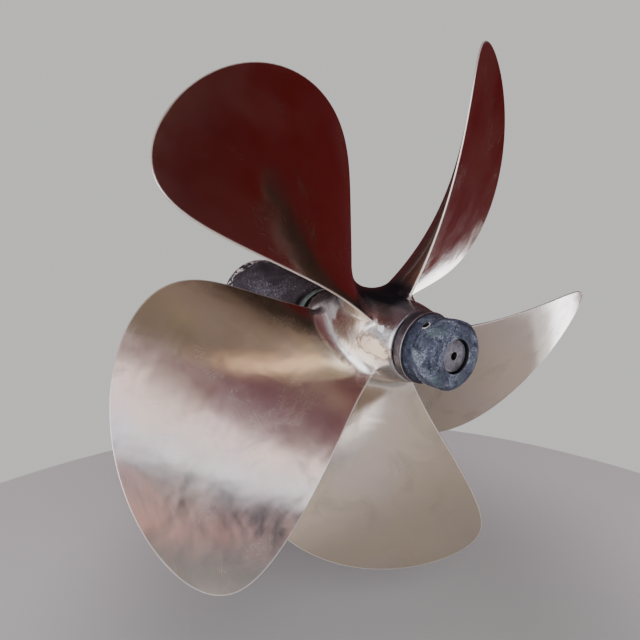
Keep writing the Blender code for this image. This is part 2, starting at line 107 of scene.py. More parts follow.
class NodeTree:
    """A node tree, with short ways to add the nodes that the finishes and the surroundings share."""

    def __init__(self, tree: bpy.types.NodeTree) -> None:
        """Keeps the material's or the world's tree that the nodes go into."""
        self.tree = tree

    def node(self, kind: str, **settings: object) -> bpy.types.Node:
        """Adds a node and sets its options.

        Args:
            kind: the node's type name.
            settings: options and their values.

        Returns:
            The node.
        """
        made = self.tree.nodes.new(kind)
        for option, value in settings.items():
            setattr(made, option, value)
        return made

    def feed(self, socket: Socket, value: object) -> None:
        """Links a socket to another one, or sets its value.

        Args:
            socket: the input to feed.
            value: an output socket, a number or a tuple.
        """
        if isinstance(value, Socket):
            self.tree.links.new(value, socket)
        else:
            socket.default_value = value

    def mapped(
        self,
        vector: Socket,
        move: Sequence[float] = (0.0, 0.0, 0.0),
        turn: Sequence[float] = (0.0, 0.0, 0.0),
        scale: Sequence[float] = (1.0, 1.0, 1.0),
    ) -> Socket:
        """Moves, turns and scales a pattern's coordinates.

        Args:
            vector: the coordinates.
            move: added after the scaling.
            turn: rotation in radians.
            scale: factor on each axis.

        Returns:
            The changed coordinates.
        """
        made = self.node("ShaderNodeMapping")
        self.feed(made.inputs["Vector"], vector)
        made.inputs["Location"].default_value = move
        made.inputs["Rotation"].default_value = turn
        made.inputs["Scale"].default_value = scale
        return made.outputs["Vector"]

    def noise(
        self,
        vector: Socket,
        scale: float,
        detail: float = 3.0,
        roughness: float = 0.5,
        distortion: float = 0.0,
    ) -> Socket:
        """Cloudy noise between 0 and 1.

        Args:
            vector: the coordinates.
            scale: lumps for each metre.
            detail: octaves.
            roughness: weight of the finer octaves.
            distortion: how far it is twisted.

        Returns:
            The value's socket.
        """
        made = self.node("ShaderNodeTexNoise")
        self.feed(made.inputs["Vector"], vector)
        made.inputs["Scale"].default_value = scale
        made.inputs["Detail"].default_value = detail
        made.inputs["Roughness"].default_value = roughness
        made.inputs["Distortion"].default_value = distortion
        return made.outputs["Fac"]

    def cells(self, vector: Socket, scale: float) -> Socket:
        """Distance from the points of a random scatter.

        Args:
            vector: the coordinates.
            scale: cells for each metre.

        Returns:
            The distance's socket.
        """
        made = self.node("ShaderNodeTexVoronoi")
        self.feed(made.inputs["Vector"], vector)
        made.inputs["Scale"].default_value = scale
        return made.outputs["Distance"]

    def spread(
        self,
        value: Socket,
        low: float,
        high: float,
        out_low: float = 0.0,
        out_high: float = 1.0,
    ) -> Socket:
        """Takes a value from one range smoothly to another and holds it at the ends.

        Args:
            value: what is changed.
            low: value that gives out_low.
            high: value that gives out_high.
            out_low: result at low.
            out_high: result at high.

        Returns:
            The result's socket.
        """
        made = self.node("ShaderNodeMapRange", interpolation_type="SMOOTHSTEP")
        self.feed(made.inputs["Value"], value)
        made.inputs["From Min"].default_value = low
        made.inputs["From Max"].default_value = high
        made.inputs["To Min"].default_value = out_low
        made.inputs["To Max"].default_value = out_high
        return made.outputs["Result"]

    def maths(self, operation: str, first: object, second: object = 0.0) -> Socket:
        """One sum on values.

        Args:
            operation: the Math node's operation.
            first: a socket or number.
            second: a socket or number.

        Returns:
            The result's socket.
        """
        made = self.node("ShaderNodeMath", operation=operation)
        self.feed(made.inputs[0], first)
        self.feed(made.inputs[1], second)
        return made.outputs["Value"]

    def times(self, first: object, second: object) -> Socket:
        """The product of two values."""
        return self.maths("MULTIPLY", first, second)

    def plus(self, first: object, second: object) -> Socket:
        """The sum of two values."""
        return self.maths("ADD", first, second)

    def most(self, first: object, second: object) -> Socket:
        """The greater of two values."""
        return self.maths("MAXIMUM", first, second)

    def minus(self, first: object, second: object) -> Socket:
        """The first value less the second."""
        return self.maths("SUBTRACT", first, second)

    def mix(self, share: object, first: object, second: object) -> Socket:
        """Mixes two colours.

        Args:
            share: how much of the second, a socket or number.
            first: a colour or socket.
            second: a colour or socket.

        Returns:
            The mixed colour's socket.
        """
        made = self.node("ShaderNodeMix", data_type="RGBA")
        self.feed(made.inputs["Factor"], share)
        for name, value in (("A", first), ("B", second)):
            socket = next(s for s in made.inputs if s.name == name and s.type == "RGBA")
            self.feed(socket, value if isinstance(value, Socket) else (*value, 1.0))
        return next(s for s in made.outputs if s.type == "RGBA")

    def layered(self, base: object, *layers: tuple[object, object]) -> Socket:
        """Lays colours over one another.

        Args:
            base: the lowest colour.
            layers: the share and the colour of each layer, from the lowest up.

        Returns:
            The topmost mix's socket.
        """
        for share, colour in layers:
            base = self.mix(share, base, colour)
        return base

    def ramp(self, value: Socket, stops: Sequence[tuple[float, Colour]], gain: float = 1.0) -> Socket:
        """Colours by a value, blended between stops.

        Args:
            value: what picks the colour, between 0 and 1.
            stops: places and their colours.
            gain: the colours are divided by it, so that none passes 1.

        Returns:
            The colour's socket.
        """
        made = self.node("ShaderNodeValToRGB")
        self.feed(made.inputs["Fac"], value)
        elements = made.color_ramp.elements
        elements[0].position = stops[0][0]
        elements[1].position = stops[-1][0]
        for position, _ in stops[1:-1]:
            elements.new(position)
        for element, (_, colour) in zip(elements, stops):
            element.color = (*(c / gain for c in colour), 1.0)
        return made.outputs["Color"]


class Shading(NodeTree):
    """One material's node tree, ending in its Principled shader."""

    def __init__(self, name: str) -> None:
        """Starts a material with an empty Principled shader.

        Args:
            name: the material's name.
        """
        self.material = bpy.data.materials.new(name)
        self.material.use_nodes = True
        super().__init__(self.material.node_tree)
        self.shader = self.tree.nodes["Principled BSDF"]

    def place(self) -> Socket:
        """The point's own place in metres."""
        return self.node("ShaderNodeTexCoord").outputs["Object"]

    def chart(self) -> Socket:
        """The piece's UV map, in metres along and across the surface."""
        return self.node("ShaderNodeUVMap", uv_map="chart").outputs["UV"]

    def carried(self, name: str) -> Socket:
        """The socket of a value that the mesh's points carry."""
        return self.node("ShaderNodeAttribute", attribute_name=name).outputs["Fac"]

    def bump(self, height: Socket, depth: float, under: object = None) -> Socket:
        """Relief from a height between 0 and 1.

        Args:
            height: the height's socket.
            depth: metres for a height of 1.
            under: relief that lies below it.

        Returns:
            The normal's socket.
        """
        made = self.node("ShaderNodeBump")
        made.inputs["Distance"].default_value = depth
        self.feed(made.inputs["Height"], height)
        if under is not None:
            self.feed(made.inputs["Normal"], under)
        return made.outputs["Normal"]

    def finish(self, **inputs: object) -> Material:
        """Feeds the shader's inputs.

        Args:
            inputs: input names with spaces as underscores, and their values or sockets.

        Returns:
            The finished material.
        """
        for name, value in inputs.items():
            plain = isinstance(value, tuple) and len(value) == 3
            self.feed(self.shader.inputs[name.replace("_", " ")], (*value, 1.0) if plain else value)
        return self.material


# Finishes


@dataclass(frozen=True)
class BronzeMarks:
    """Where the polished bronze is marked, and where shade and a highlight are painted on it: sockets whose
    values lie between 0 and 1.
    """

    scratch: Socket
    brushed: Socket
    tarnished: Socket
    edge: Socket
    on_hub: Socket
    hub_top_shaded: Socket
    dull_end: Socket
    wander: Socket
    rough_cast: Socket
    cast_rim: Socket
    splash: Socket


@dataclass(frozen=True)
class PolishedBronze:
    """Nickel aluminium bronze, ground and polished to a satin, with fine crossing hairlines."""

    gold: Colour = (0.74, 0.63, 0.485)
    rose: Colour = (0.71, 0.60, 0.52)
    tarnish: Colour = (0.57, 0.49, 0.385)
    edge: Colour = (0.93, 0.87, 0.76)
    ground_hub: Colour = (0.88, 0.84, 0.79)
    cast: Colour = (0.88, 0.74, 0.58)
    cast_rim: Colour = (0.30, 0.215, 0.155)
    # Painted shade: this near-black colour darkens the hub's upper side.
    hub_top_shade: Colour = (0.055, 0.052, 0.060)
    dull: Colour = (0.41, 0.395, 0.405)
    dull_from: float = -0.535
    # The upward way along which the hub's upper side takes its painted shade.
    hub_top_shade_way: tuple[float, float, float] = (0.58, 0.0, 0.815)
    cast_spot: tuple[float, float, float] = (-0.0770, -0.5500, -0.0735)
    cast_slant: float = math.radians(-18.0)
    cast_reach: float = 0.0290
    cast_squash: float = 0.42
    # Painted highlight: a near-white, half-bare spot on the hub that stands in for a glint.
    splash: Colour = (0.96, 0.95, 0.93)
    painted_glint_spot: tuple[float, float, float] = (-0.0662, -0.5541, -0.0366)
    painted_glint_reach: float = 0.0228
    painted_glint_squash: float = 0.80
    hairline_turns: tuple[float, ...] = (0.12, 0.95, 1.62, 2.45)
    hairline: tuple[float, float] = (15.0, 1300.0)
    roughness: tuple[float, float] = (0.13, 0.19)

    def away(self, shading: Shading, spot: Sequence[float], squash: float, wander: Socket) -> Socket:
        """Distance from a spot on the hub, less along the shaft than across it, and ragged.

        Args:
            shading: the tree.
            spot: the spot's place.
            squash: what a length along the shaft counts for.
            wander: the noise that makes it ragged.

        Returns:
            The distance plus a small share of the noise.
        """
        spread_out = shading.mapped(shading.place(), move=[-c for c in spot])
        spread_out = shading.mapped(spread_out, turn=(self.cast_slant, 0.0, 0.0))
        length = shading.node("ShaderNodeVectorMath", operation="LENGTH")
        shading.feed(length.inputs[0], shading.mapped(spread_out, scale=(1.0, squash, 1.0)))
        return shading.plus(length.outputs["Value"], shading.times(wander, 0.024))

    def streaks(self, shading: Shading, turn: float, seed: float) -> Socket:
        """Noise stretched along one direction of the piece's chart.

        Args:
            shading: the tree.
            turn: the direction, in radians.
            seed: picks the pattern.

        Returns:
            A value between 0 and 1.
        """
        lines = shading.mapped(shading.chart(), turn=(0.0, 0.0, turn))
        along, across = self.hairline
        drawn = shading.mapped(lines, move=(seed, 0.0, seed), scale=(along, across, 1.0))
        return shading.noise(drawn, 1.0, 1.0)

    def hairlines(self, shading: Shading) -> tuple[Socket, Socket]:
        """Straight scratches in a few directions: the crests of the stretched noises.

        Args:
            shading: the tree.

        Returns:
            A value between 0 and 1, high on a scratch, and the mean of the noises, for fine brushing.
        """
        scratch: object = 0.0
        brushed: object = 0.0
        for index, turn in enumerate(self.hairline_turns):
            value = self.streaks(shading, turn, 7.0 * index)
            where = shading.spread(shading.noise(shading.place(), 6.0 + index, 2.0), 0.40, 0.62, 0.0, 0.035)
            crest = shading.spread(shading.plus(value, where), 0.68, 0.75)
            scratch = shading.most(crest, scratch)
            share = shading.times(value, 1.0 / len(self.hairline_turns))
            brushed = shading.plus(brushed, share)
        return scratch, brushed

    def shade_hub_top(self, shading: Shading, height: Socket, smears: Socket) -> Socket:
        """Dark painted shade on the hub's upper side, where a point lies far enough along the given upward
        way.

        Args:
            shading: the tree.
            height: how far a point stands above the hub.
            smears: noise that makes it uneven.

        Returns:
            A value between 0 and 1.
        """
        along = shading.node("ShaderNodeVectorMath", operation="DOT_PRODUCT")
        shading.feed(along.inputs[0], shading.mapped(shading.place(), move=[-c for c in CENTRE]))
        along.inputs[1].default_value = self.hub_top_shade_way
        upper = shading.plus(along.outputs["Value"], shading.times(smears, 0.034))
        low = shading.spread(height, 0.012, 0.042, 1.0, 0.0)
        return shading.times(shading.spread(upper, 0.016, 0.062), low)

    def dull_end(self, shading: Shading, height: Socket, smears: Socket) -> Socket:
        """The greyer metal towards the hub's aft end.

        Args:
            shading: the tree.
            height: how far a point stands above the hub.
            smears: noise that makes it uneven.

        Returns:
            A value between 0 and 1.
        """
        split = shading.node("ShaderNodeSeparateXYZ")
        shading.feed(split.inputs[0], shading.place())
        along = shading.plus(split.outputs["Y"], shading.times(smears, 0.020))
        grey = shading.spread(along, self.dull_from + 0.018, self.dull_from - 0.012, 0.0, 0.75)
        return shading.times(grey, shading.spread(height, 0.004, 0.020, 1.0, 0.0))

    def marks(self, shading: Shading) -> BronzeMarks:
        """Works out where each mark lies.

        Args:
            shading: the tree.

        Returns:
            The marks.
        """
        place, height = shading.place(), shading.carried("height")
        smears = shading.noise(shading.mapped(place, scale=(1.0, 0.22, 1.0)), 75.0, 4.0, 0.6, 0.4)
        scratch, brushed = self.hairlines(shading)
        wander = shading.noise(place, 75.0, 5.0, 0.62, 0.6)
        cast = self.away(shading, self.cast_spot, self.cast_squash, wander)
        splash = self.away(shading, self.painted_glint_spot, self.painted_glint_squash, wander)
        near, far = self.cast_reach, self.painted_glint_reach
        return BronzeMarks(
            scratch=scratch,
            brushed=brushed,
            tarnished=shading.spread(shading.noise(place, 13.0, 3.0, 0.6, 0.8), 0.50, 0.72, 0.0, 0.60),
            edge=shading.carried("edge"),
            on_hub=shading.spread(height, 0.006, 0.040, 1.0, 0.0),
            hub_top_shaded=self.shade_hub_top(shading, height, smears),
            dull_end=self.dull_end(shading, height, smears),
            wander=wander,
            rough_cast=shading.spread(cast, near - 0.0015, near + 0.0015, 1.0, 0.0),
            cast_rim=shading.spread(cast, near, near + 0.0060, 0.75, 0.0),
            splash=shading.spread(splash, far - 0.0010, far + 0.0008, 1.0, 0.0),
        )

    def colour(self, shading: Shading, marks: BronzeMarks) -> Socket:
        """The metal's colour, with each mark laid over it.

        Args:
            shading: the tree.
            marks: where the marks lie.

        Returns:
            The colour's socket.
        """
        clouds = shading.noise(shading.place(), 5.0, 4.0, 0.55, 0.4)
        return shading.layered(
            shading.mix(shading.spread(clouds, 0.35, 0.65), self.gold, self.rose),
            (marks.tarnished, self.tarnish),
            # Hairlines drawn a little lighter: partly the scratches' own colour, partly a painted sheen of
            # the light they scatter.
            (shading.times(marks.scratch, 0.07), self.edge),
            (shading.times(marks.on_hub, 0.8), self.ground_hub),
            # Painted shade over the hub's upper side.
            (marks.hub_top_shaded, self.hub_top_shade),
            (marks.dull_end, self.dull),
            (marks.cast_rim, self.cast_rim),
            (marks.rough_cast, self.cast),
            # Painted highlight: the white glint on the hub.
            (marks.splash, self.splash),
            (shading.times(marks.edge, 0.8), self.edge),
        )

    def rough(self, shading: Shading, marks: BronzeMarks) -> Socket:
        """How rough the surface is: brushed unevenly, rougher on the hub and where it is marked.

        Args:
            shading: the tree.
            marks: where the marks lie.

        Returns:
            The roughness.
        """
        rough = shading.spread(shading.noise(shading.place(), 17.0, 4.0), 0.35, 0.65, *self.roughness)
        rough = shading.plus(rough, shading.spread(marks.brushed, 0.35, 0.65, -0.04, 0.04))
        rough = shading.times(rough, shading.plus(shading.times(marks.on_hub, 0.35), 1.0))
        for mark, more in ((marks.scratch, 0.03), (marks.rough_cast, 0.14), (marks.tarnished, 0.16)):
            rough = shading.plus(rough, shading.times(mark, more))
        return rough

    def relief(self, shading: Shading, marks: BronzeMarks) -> Socket:
        """The surface's relief, from its broad waves up to the rough cast patch.

        Args:
            shading: the tree.
            marks: where the marks lie.

        Returns:
            The normal's socket.
        """
        place = shading.place()
        layers = (
            (shading.noise(place, 11.0, 2.0, 0.5, 0.5), 0.0011),
            (shading.times(shading.noise(place, 46.0, 2.0, 0.5, 0.4), marks.on_hub), 0.0009),
            (shading.noise(shading.mapped(shading.chart(), scale=(14.0, 40.0, 1.0)), 1.0, 3.0), 0.00010),
            (marks.brushed, 0.00004),
            (shading.noise(place, 620.0, 2.0), 0.000012),
            (shading.times(marks.wander, marks.rough_cast), 0.0012),
        )
        normal = None
        for height, depth in layers:
            normal = shading.bump(height, depth, normal)
        return normal

    def metal(self, shading: Shading, marks: BronzeMarks) -> Socket:
        """How much of the surface is bare metal: less in haze, the hub top's painted shade, ground edges
        and the painted white glint.

        Args:
            shading: the tree.
            marks: where the marks lie.

        Returns:
            The share.
        """
        haze = shading.spread(shading.noise(shading.place(), 3.5, 3.0, 0.5, 0.4), 0.40, 0.60, 0.0, 0.032)
        marked = shading.most(shading.times(marks.hub_top_shaded, 0.12), shading.times(marks.edge, 0.35))
        dulled = shading.most(shading.most(haze, marked), shading.times(marks.splash, 0.7))
        return shading.minus(1.0, dulled)

    def material(self) -> Material:
        """Builds the finish.

        Returns:
            Its material.
        """
        shading = Shading("polished_bronze")
        marks = self.marks(shading)
        return shading.finish(
            Base_Color=self.colour(shading, marks),
            Metallic=self.metal(shading, marks),
            Roughness=self.rough(shading, marks),
            Normal=self.relief(shading, marks),
        )


@dataclass(frozen=True)
class BrownBronze:
    """Weathered bronze, brown with a violet cast, worn bright along its corners."""

    dark: Colour = (0.092, 0.080, 0.090)
    light: Colour = (0.200, 0.182, 0.195)
    worn: Colour = (0.62, 0.57, 0.53)

    def material(self) -> Material:
        """Builds the finish.

        Returns:
            Its material.
        """
        shading = Shading("brown_bronze")
        place = shading.place()
        clouds = shading.noise(place, 55.0, 5.0, 0.65, 0.5)
        base = shading.mix(shading.spread(clouds, 0.35, 0.68), self.dark, self.light)
        ragged = shading.times(shading.noise(place, 400.0, 3.0), 0.6)
        wear = shading.spread(shading.plus(shading.carried("edge"), ragged), 0.65, 1.15)
        base = shading.mix(shading.times(wear, 0.7), base, self.worn)
        rough = shading.spread(clouds, 0.3, 0.7, 0.50, 0.36)
        normal = shading.bump(shading.noise(place, 700.0, 4.0, 0.7), 0.0004)
        return shading.finish(Base_Color=base, Metallic=0.85, Roughness=rough, Normal=normal)


@dataclass(frozen=True)
class PatinatedBronze:
    """Thin bronze ring with a dull green-grey patina, black with painted shade away from its outer corner.
    """

    grime: Colour = (0.010, 0.012, 0.012)
    dark: Colour = (0.075, 0.095, 0.085)
    light: Colour = (0.22, 0.27, 0.245)
    worn: Colour = (0.40, 0.44, 0.40)

    def material(self) -> Material:
        """Builds the finish.

        Returns:
            Its material.
        """
        shading = Shading("patinated_bronze")
        place = shading.place()
        clouds = shading.noise(place, 90.0, 5.0, 0.7, 0.5)
        base = shading.mix(shading.spread(clouds, 0.36, 0.66), self.dark, self.light)
        base = shading.layered(
            base,
            (shading.times(shading.carried("edge"), 0.5), self.worn),
            # Painted shade: the ring goes black away from its outer corner.
            (shading.carried("grime"), self.grime),
        )
        normal = shading.bump(shading.noise(place, 900.0, 4.0, 0.7), 0.0004)
        return shading.finish(Base_Color=base, Metallic=0.3, Roughness=0.65, Normal=normal)


@dataclass(frozen=True)
class WeatheredZinc:
    """Zinc after a season in the sea: dark blue-grey, mottled and veined with pale salts, and pitted."""

    dark: Colour = (0.020, 0.025, 0.042)
    middle: Colour = (0.080, 0.090, 0.130)
    pale: Colour = (0.37, 0.41, 0.48)
    green: Colour = (0.115, 0.165, 0.165)
    lip: Colour = (0.80, 0.76, 0.68)
    band: Colour = (0.016, 0.020, 0.034)
    grime: Colour = (0.005, 0.005, 0.006)

    def veins(self, shading: Shading, scale: float, width: float) -> Socket:
        """Curling lines: where a twisted noise crosses its middle value.

        Args:
            shading: the tree.
            scale: lumps for each metre.
            width: how far from the middle value a line reaches.

        Returns:
            A value between 0 and 1, high on a line.
        """
        value = shading.noise(shading.place(), scale, 2.0, 0.6, 2.2)
        away = shading.maths("ABSOLUTE", shading.minus(value, 0.5))
        return shading.spread(away, 0.1 * width, width, 1.0, 0.0)

    def material(self) -> Material:
        """Builds the finish.

        Returns:
            Its material.
        """
        shading = Shading("weathered_zinc")
        place = shading.place()
        clouds = shading.noise(place, 105.0, 6.0, 0.72, 0.5)
        base = shading.mix(shading.spread(clouds, 0.34, 0.60), self.dark, self.middle)
        patches = shading.noise(place, 26.0, 4.0, 0.6, 0.8)
        base = shading.mix(shading.spread(patches, 0.50, 0.70, 0.0, 0.75), base, self.green)
        specks = shading.noise(shading.mapped(place, move=(3.0, 1.0, 2.0)), 380.0, 4.0, 0.72)
        zone = shading.noise(place, 34.0, 3.0, 0.55, 0.6)
        zoned = shading.plus(specks, shading.spread(zone, 0.36, 0.66, -0.12, 0.06))
        speckled = shading.times(shading.spread(zoned, 0.46, 0.62), 0.42)
        zoned = shading.plus(specks, shading.spread(zone, 0.42, 0.66, -0.20, 0.12))
        broken = shading.spread(zoned, 0.42, 0.58)
        veined = shading.times(self.veins(shading, 46.0, 0.050), broken)
        pale = shading.most(speckled, shading.times(veined, 0.85))
        lip = shading.times(shading.carried("edge"), shading.spread(specks, 0.30, 0.50, 0.6, 1.0))
        base = shading.layered(
            base,
            (pale, self.pale),
            (shading.times(shading.carried("band"), 0.5), self.band),
            (lip, self.lip),
            # Painted shade: near black in the screw holes and deep in the recess.
            (shading.carried("grime"), self.grime),
        )
        pits = shading.spread(shading.cells(place, 260.0), 0.10, 0.42)
        relief = shading.plus(shading.times(pits, 0.5), shading.times(specks, 0.8))
        normal = shading.bump(relief, 0.0010)
        rough = shading.spread(pale, 0.0, 1.0, 0.55, 0.85)
        return shading.finish(
            Base_Color=base, Metallic=0.10, Specular_IOR_Level=0.3, Roughness=rough, Normal=normal
        )


@dataclass(frozen=True)
class BossPaint:
    """Matt purple-grey paint, speckled, flaked to a pale undercoat towards its forward end."""

    dark: Colour = (0.035, 0.027, 0.032)
    light: Colour = (0.064, 0.050, 0.058)
    speck: Colour = (0.36, 0.35, 0.40)
    undercoat: Colour = (0.60, 0.54, 0.48)
    flaked_from: float = -0.085

    def material(self) -> Material:
        """Builds the finish.

        Returns:
            Its material.
        """
        shading = Shading("boss_paint")
        place = shading.place()
        clouds = shading.noise(place, 26.0, 5.0, 0.6, 0.6)
        base = shading.mix(shading.spread(clouds, 0.34, 0.68), self.dark, self.light)
        thick = shading.spread(shading.noise(place, 18.0, 2.0), 0.35, 0.65, -0.05, 0.05)
        specks = shading.plus(shading.noise(place, 300.0, 4.0, 0.7), thick)
        specks = shading.spread(specks, 0.53, 0.68)
        base = shading.mix(shading.times(specks, 0.6), base, self.speck)
        along = shading.node("ShaderNodeSeparateXYZ")
        shading.feed(along.inputs[0], place)
        nearer = shading.spread(along.outputs["Y"], self.flaked_from, self.flaked_from + 0.09, -0.20, 0.13)
        flakes = shading.plus(shading.noise(place, 85.0, 5.0, 0.68, 0.4), nearer)
        flaked = shading.spread(flakes, 0.600, 0.625)
        outside = shading.spread(along.outputs["Y"], -0.0045, -0.0015, 1.0, 0.0)
        flaked = shading.times(flaked, outside)
        base = shading.mix(flaked, base, self.undercoat)
        height = shading.minus(shading.times(specks, 0.3), flaked)
        normal = shading.bump(height, 0.0006)
        normal = shading.bump(shading.noise(place, 120.0, 4.0, 0.6), 0.0012, normal)
        rough = shading.spread(clouds, 0.3, 0.7, 0.62, 0.80)
        return shading.finish(Base_Color=base, Specular_IOR_Level=0.15, Roughness=rough, Normal=normal)


@dataclass(frozen=True)
class Rubber:
    """Black rubber, dulled by water."""

    dark: Colour = (0.006, 0.007, 0.009)
    dusty: Colour = (0.030, 0.033, 0.038)

    def material(self) -> Material:
        """Builds the finish.

        Returns:
            Its material.
        """
        shading = Shading("rubber")
        place = shading.place()
        clouds = shading.noise(place, 80.0, 4.0, 0.6)
        base = shading.mix(shading.spread(clouds, 0.4, 0.7), self.dark, self.dusty)
        rough = shading.spread(clouds, 0.3, 0.7, 0.5, 0.75)
        normal = shading.bump(shading.noise(place, 900.0, 3.0), 0.0002)
        return shading.finish(Base_Color=base, Roughness=rough, Normal=normal)


@dataclass(frozen=True)
class TurnedSteel:
    """Turned steel with faint rings about the shaft, stained brown and grey."""

    name: str = "shaft_steel"
    bright: Colour = (0.46, 0.475, 0.50)
    stain: Colour = (0.26, 0.25, 0.265)
    worn: Colour = (0.70, 0.68, 0.66)
    grime: Colour = (0.02, 0.02, 0.02)
    ring_pitch: float = 0.0011
    ring_depth: float = 0.03

    def material(self) -> Material:
        """Builds the finish.

        Returns:
            Its material.
        """
        shading = Shading(self.name)
        place = shading.place()
        clouds = shading.noise(place, 110.0, 5.0, 0.65, 0.4)
        base = shading.mix(shading.spread(clouds, 0.38, 0.66), self.bright, self.stain)
        base = shading.layered(
            # Painted shade: near black where the points carry it, in the shaft's centre hole.
            base, (shading.carried("edge"), self.worn), (shading.carried("grime"), self.grime)
        )
        centred = shading.mapped(place, move=(0.0, 0.0, -CENTRE[2]), scale=(1.0, 0.0, 1.0))
        away = shading.node("ShaderNodeVectorMath", operation="LENGTH")
        shading.feed(away.inputs[0], centred)
        rings = shading.maths("SINE", shading.times(away.outputs["Value"], TURN / self.ring_pitch))
        height = shading.plus(shading.times(rings, self.ring_depth), clouds)
        normal = shading.bump(height, 0.0003)
        rough = shading.spread(clouds, 0.3, 0.7, 0.34, 0.55)
        return shading.finish(Base_Color=base, Metallic=0.9, Roughness=rough, Normal=normal)


@dataclass(frozen=True)
class BearingBronze:
    """Turned yellow bronze of the bearing's tube."""

    light: Colour = (0.56, 0.40, 0.20)
    dark: Colour = (0.36, 0.24, 0.12)

    def material(self) -> Material:
        """Builds the finish.

        Returns:
            Its material.
        """
        shading = Shading("bearing_bronze")
        clouds = shading.noise(shading.place(), 70.0, 4.0, 0.6)
        base = shading.mix(shading.spread(clouds, 0.35, 0.7), self.light, self.dark)
        normal = shading.bump(shading.noise(shading.place(), 800.0, 3.0), 0.0001)
        return shading.finish(Base_Color=base, Metallic=1.0, Roughness=0.36, Normal=normal)


# Surfaces


@dataclass
class Patch:
    """A grid of points, with its chart in metres and the values that its points carry.

    The grid's rows and columns may each close on themselves.
    """

    points: np.ndarray
    chart: np.ndarray | None = None
    values: dict[str, np.ndarray] = field(default_factory=dict)
    closed_rows: bool = False
    closed_columns: bool = True

    def quads(self, start: int) -> np.ndarray:
        """Corner numbers of the grid's faces.

        Args:
            start: number of the patch's first point.

        Returns:
            Faces by four corner numbers.
        """
        rows, columns = self.points.shape[:2]
        row = np.arange(rows if self.closed_rows else rows - 1)[:, None]
        column = np.arange(columns if self.closed_columns else columns - 1)[None, :]
        below, beside = (row + 1) % rows, (column + 1) % columns
        corners = [
            row * columns + column,
            row * columns + beside,
            below * columns + beside,
            below * columns + column,
        ]
        return start + np.stack(corners, axis=-1).reshape(-1, 4)


def mesh_from_patches(name: str, patches: Sequence[Patch], sharp: float = 40.0) -> bpy.types.Mesh:
    """Joins patches into one closed mesh: equal points become one and faces turn outwards.

    Args:
        name: the mesh's name.
        patches: the grids.
        sharp: angle in degrees above which an edge stays sharp.

    Returns:
        The mesh, shaded smooth.
    """
    starts = np.cumsum([0] + [p.points.shape[0] * p.points.shape[1] for p in patches])
    points = np.concatenate([p.points.reshape(-1, 3) for p in patches])
    quads = np.concatenate([p.quads(start) for p, start in zip(patches, starts)])
    mesh = bpy.data.meshes.new(name)
    mesh.from_pydata(points, [], quads)
    names = sorted({key for p in patches for key in p.values})
    for key in names:
        parts = [p.values.get(key, np.zeros(p.points.shape[:2])).reshape(-1) for p in patches]
        layer = mesh.attributes.new(key, "FLOAT", "POINT")
        layer.data.foreach_set("value", np.concatenate(parts).astype(np.float32))
    if all(p.chart is not None for p in patches):
        chart = np.concatenate([p.chart.reshape(-1, 2) for p in patches])
        layer = mesh.uv_layers.new(name="chart")
        layer.data.foreach_set("uv", chart[quads.reshape(-1)].astype(np.float32).reshape(-1))
    bm = bmesh.new()
    bm.from_mesh(mesh)
    bmesh.ops.remove_doubles(bm, verts=bm.verts, dist=WELD)
    bmesh.ops.recalc_face_normals(bm, faces=bm.faces)
    bm.to_mesh(mesh)
    bm.free()
    mesh.shade_smooth()
    mesh.set_sharp_from_angle(angle=math.radians(sharp))
    return mesh


def add_piece(
    mesh: bpy.types.Mesh, finish: Material, body: Body, nodes: Sequence[str]
) -> None:
    """Puts a finished mesh into the scene on its body, in the place of the solids it stands for.

    Args:
        mesh: the piece's mesh, in place.
        finish: its material.
        body: what it rides on.
        nodes: the solids that it replaces.
    """
    mesh.materials.append(finish)
    piece = bpy.data.objects.new(mesh.name, mesh)
    bpy.context.scene.collection.objects.link(piece)
    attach(piece, body.value)
    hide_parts(*nodes)
    LOG.info("%s: %d faces on %s", piece.name, len(mesh.polygons), body.value)


def rounded(corners: Sequence[Corner], steps: int = 6) -> tuple[np.ndarray, np.ndarray]:
    """A closed outline with its corners rounded.

    A corner becomes a curve whose control points are the corner and the two points that lie its
    rounding away along each side: (1-s)^2 before + 2s(1-s) corner + s^2 after.

    Args:
        corners: (y, radius, rounding) in order.
        steps: points on a rounded corner.

    Returns:
        The outline's (y, radius) points, and how worn each is: 1 at the middle of a rounded corner.
    """
    points, worn = [], []
    share = np.linspace(0.0, 1.0, steps)[:, None]
    for index, (y, radius, rounding) in enumerate(corners):
        corner = np.array([y, radius])
        if rounding == 0.0:
            points.append(corner[None, :])
            worn.append(np.zeros(1))
            continue
        before = np.array(corners[index - 1][:2]) - corner
        after = np.array(corners[(index + 1) % len(corners)][:2]) - corner
        start = corner + before * rounding / np.linalg.norm(before)
        end = corner + after * rounding / np.linalg.norm(after)
        points.append((1 - share) ** 2 * start + 2 * share * (1 - share) * corner + share**2 * end)
        worn.append(np.sin(math.pi * share[:, 0]))
    return np.concatenate(points), np.concatenate(worn)


def divided(outline: np.ndarray, worn: np.ndarray, spacing: float) -> tuple[np.ndarray, np.ndarray]:
    """Adds points along an outline's long stretches, keeping the points it has.

    Args:
        outline: closed (y, radius) points.
        worn: a value at each.
        spacing: longest stretch left, in metres.

    Returns:
        The outline and its values with the added points.
    """
    following = np.roll(outline, -1, axis=0)
    counts = np.maximum(1, np.ceil(np.linalg.norm(following - outline, axis=1) / spacing)).astype(int)
    index = np.repeat(np.arange(len(outline)), counts)
    share = np.concatenate([np.arange(n) / n for n in counts])[:, None]
    points = outline[index] * (1 - share) + following[index] * share
    values = worn[index] * (1 - share[:, 0]) + np.roll(worn, -1)[index] * share[:, 0]
    return points, values


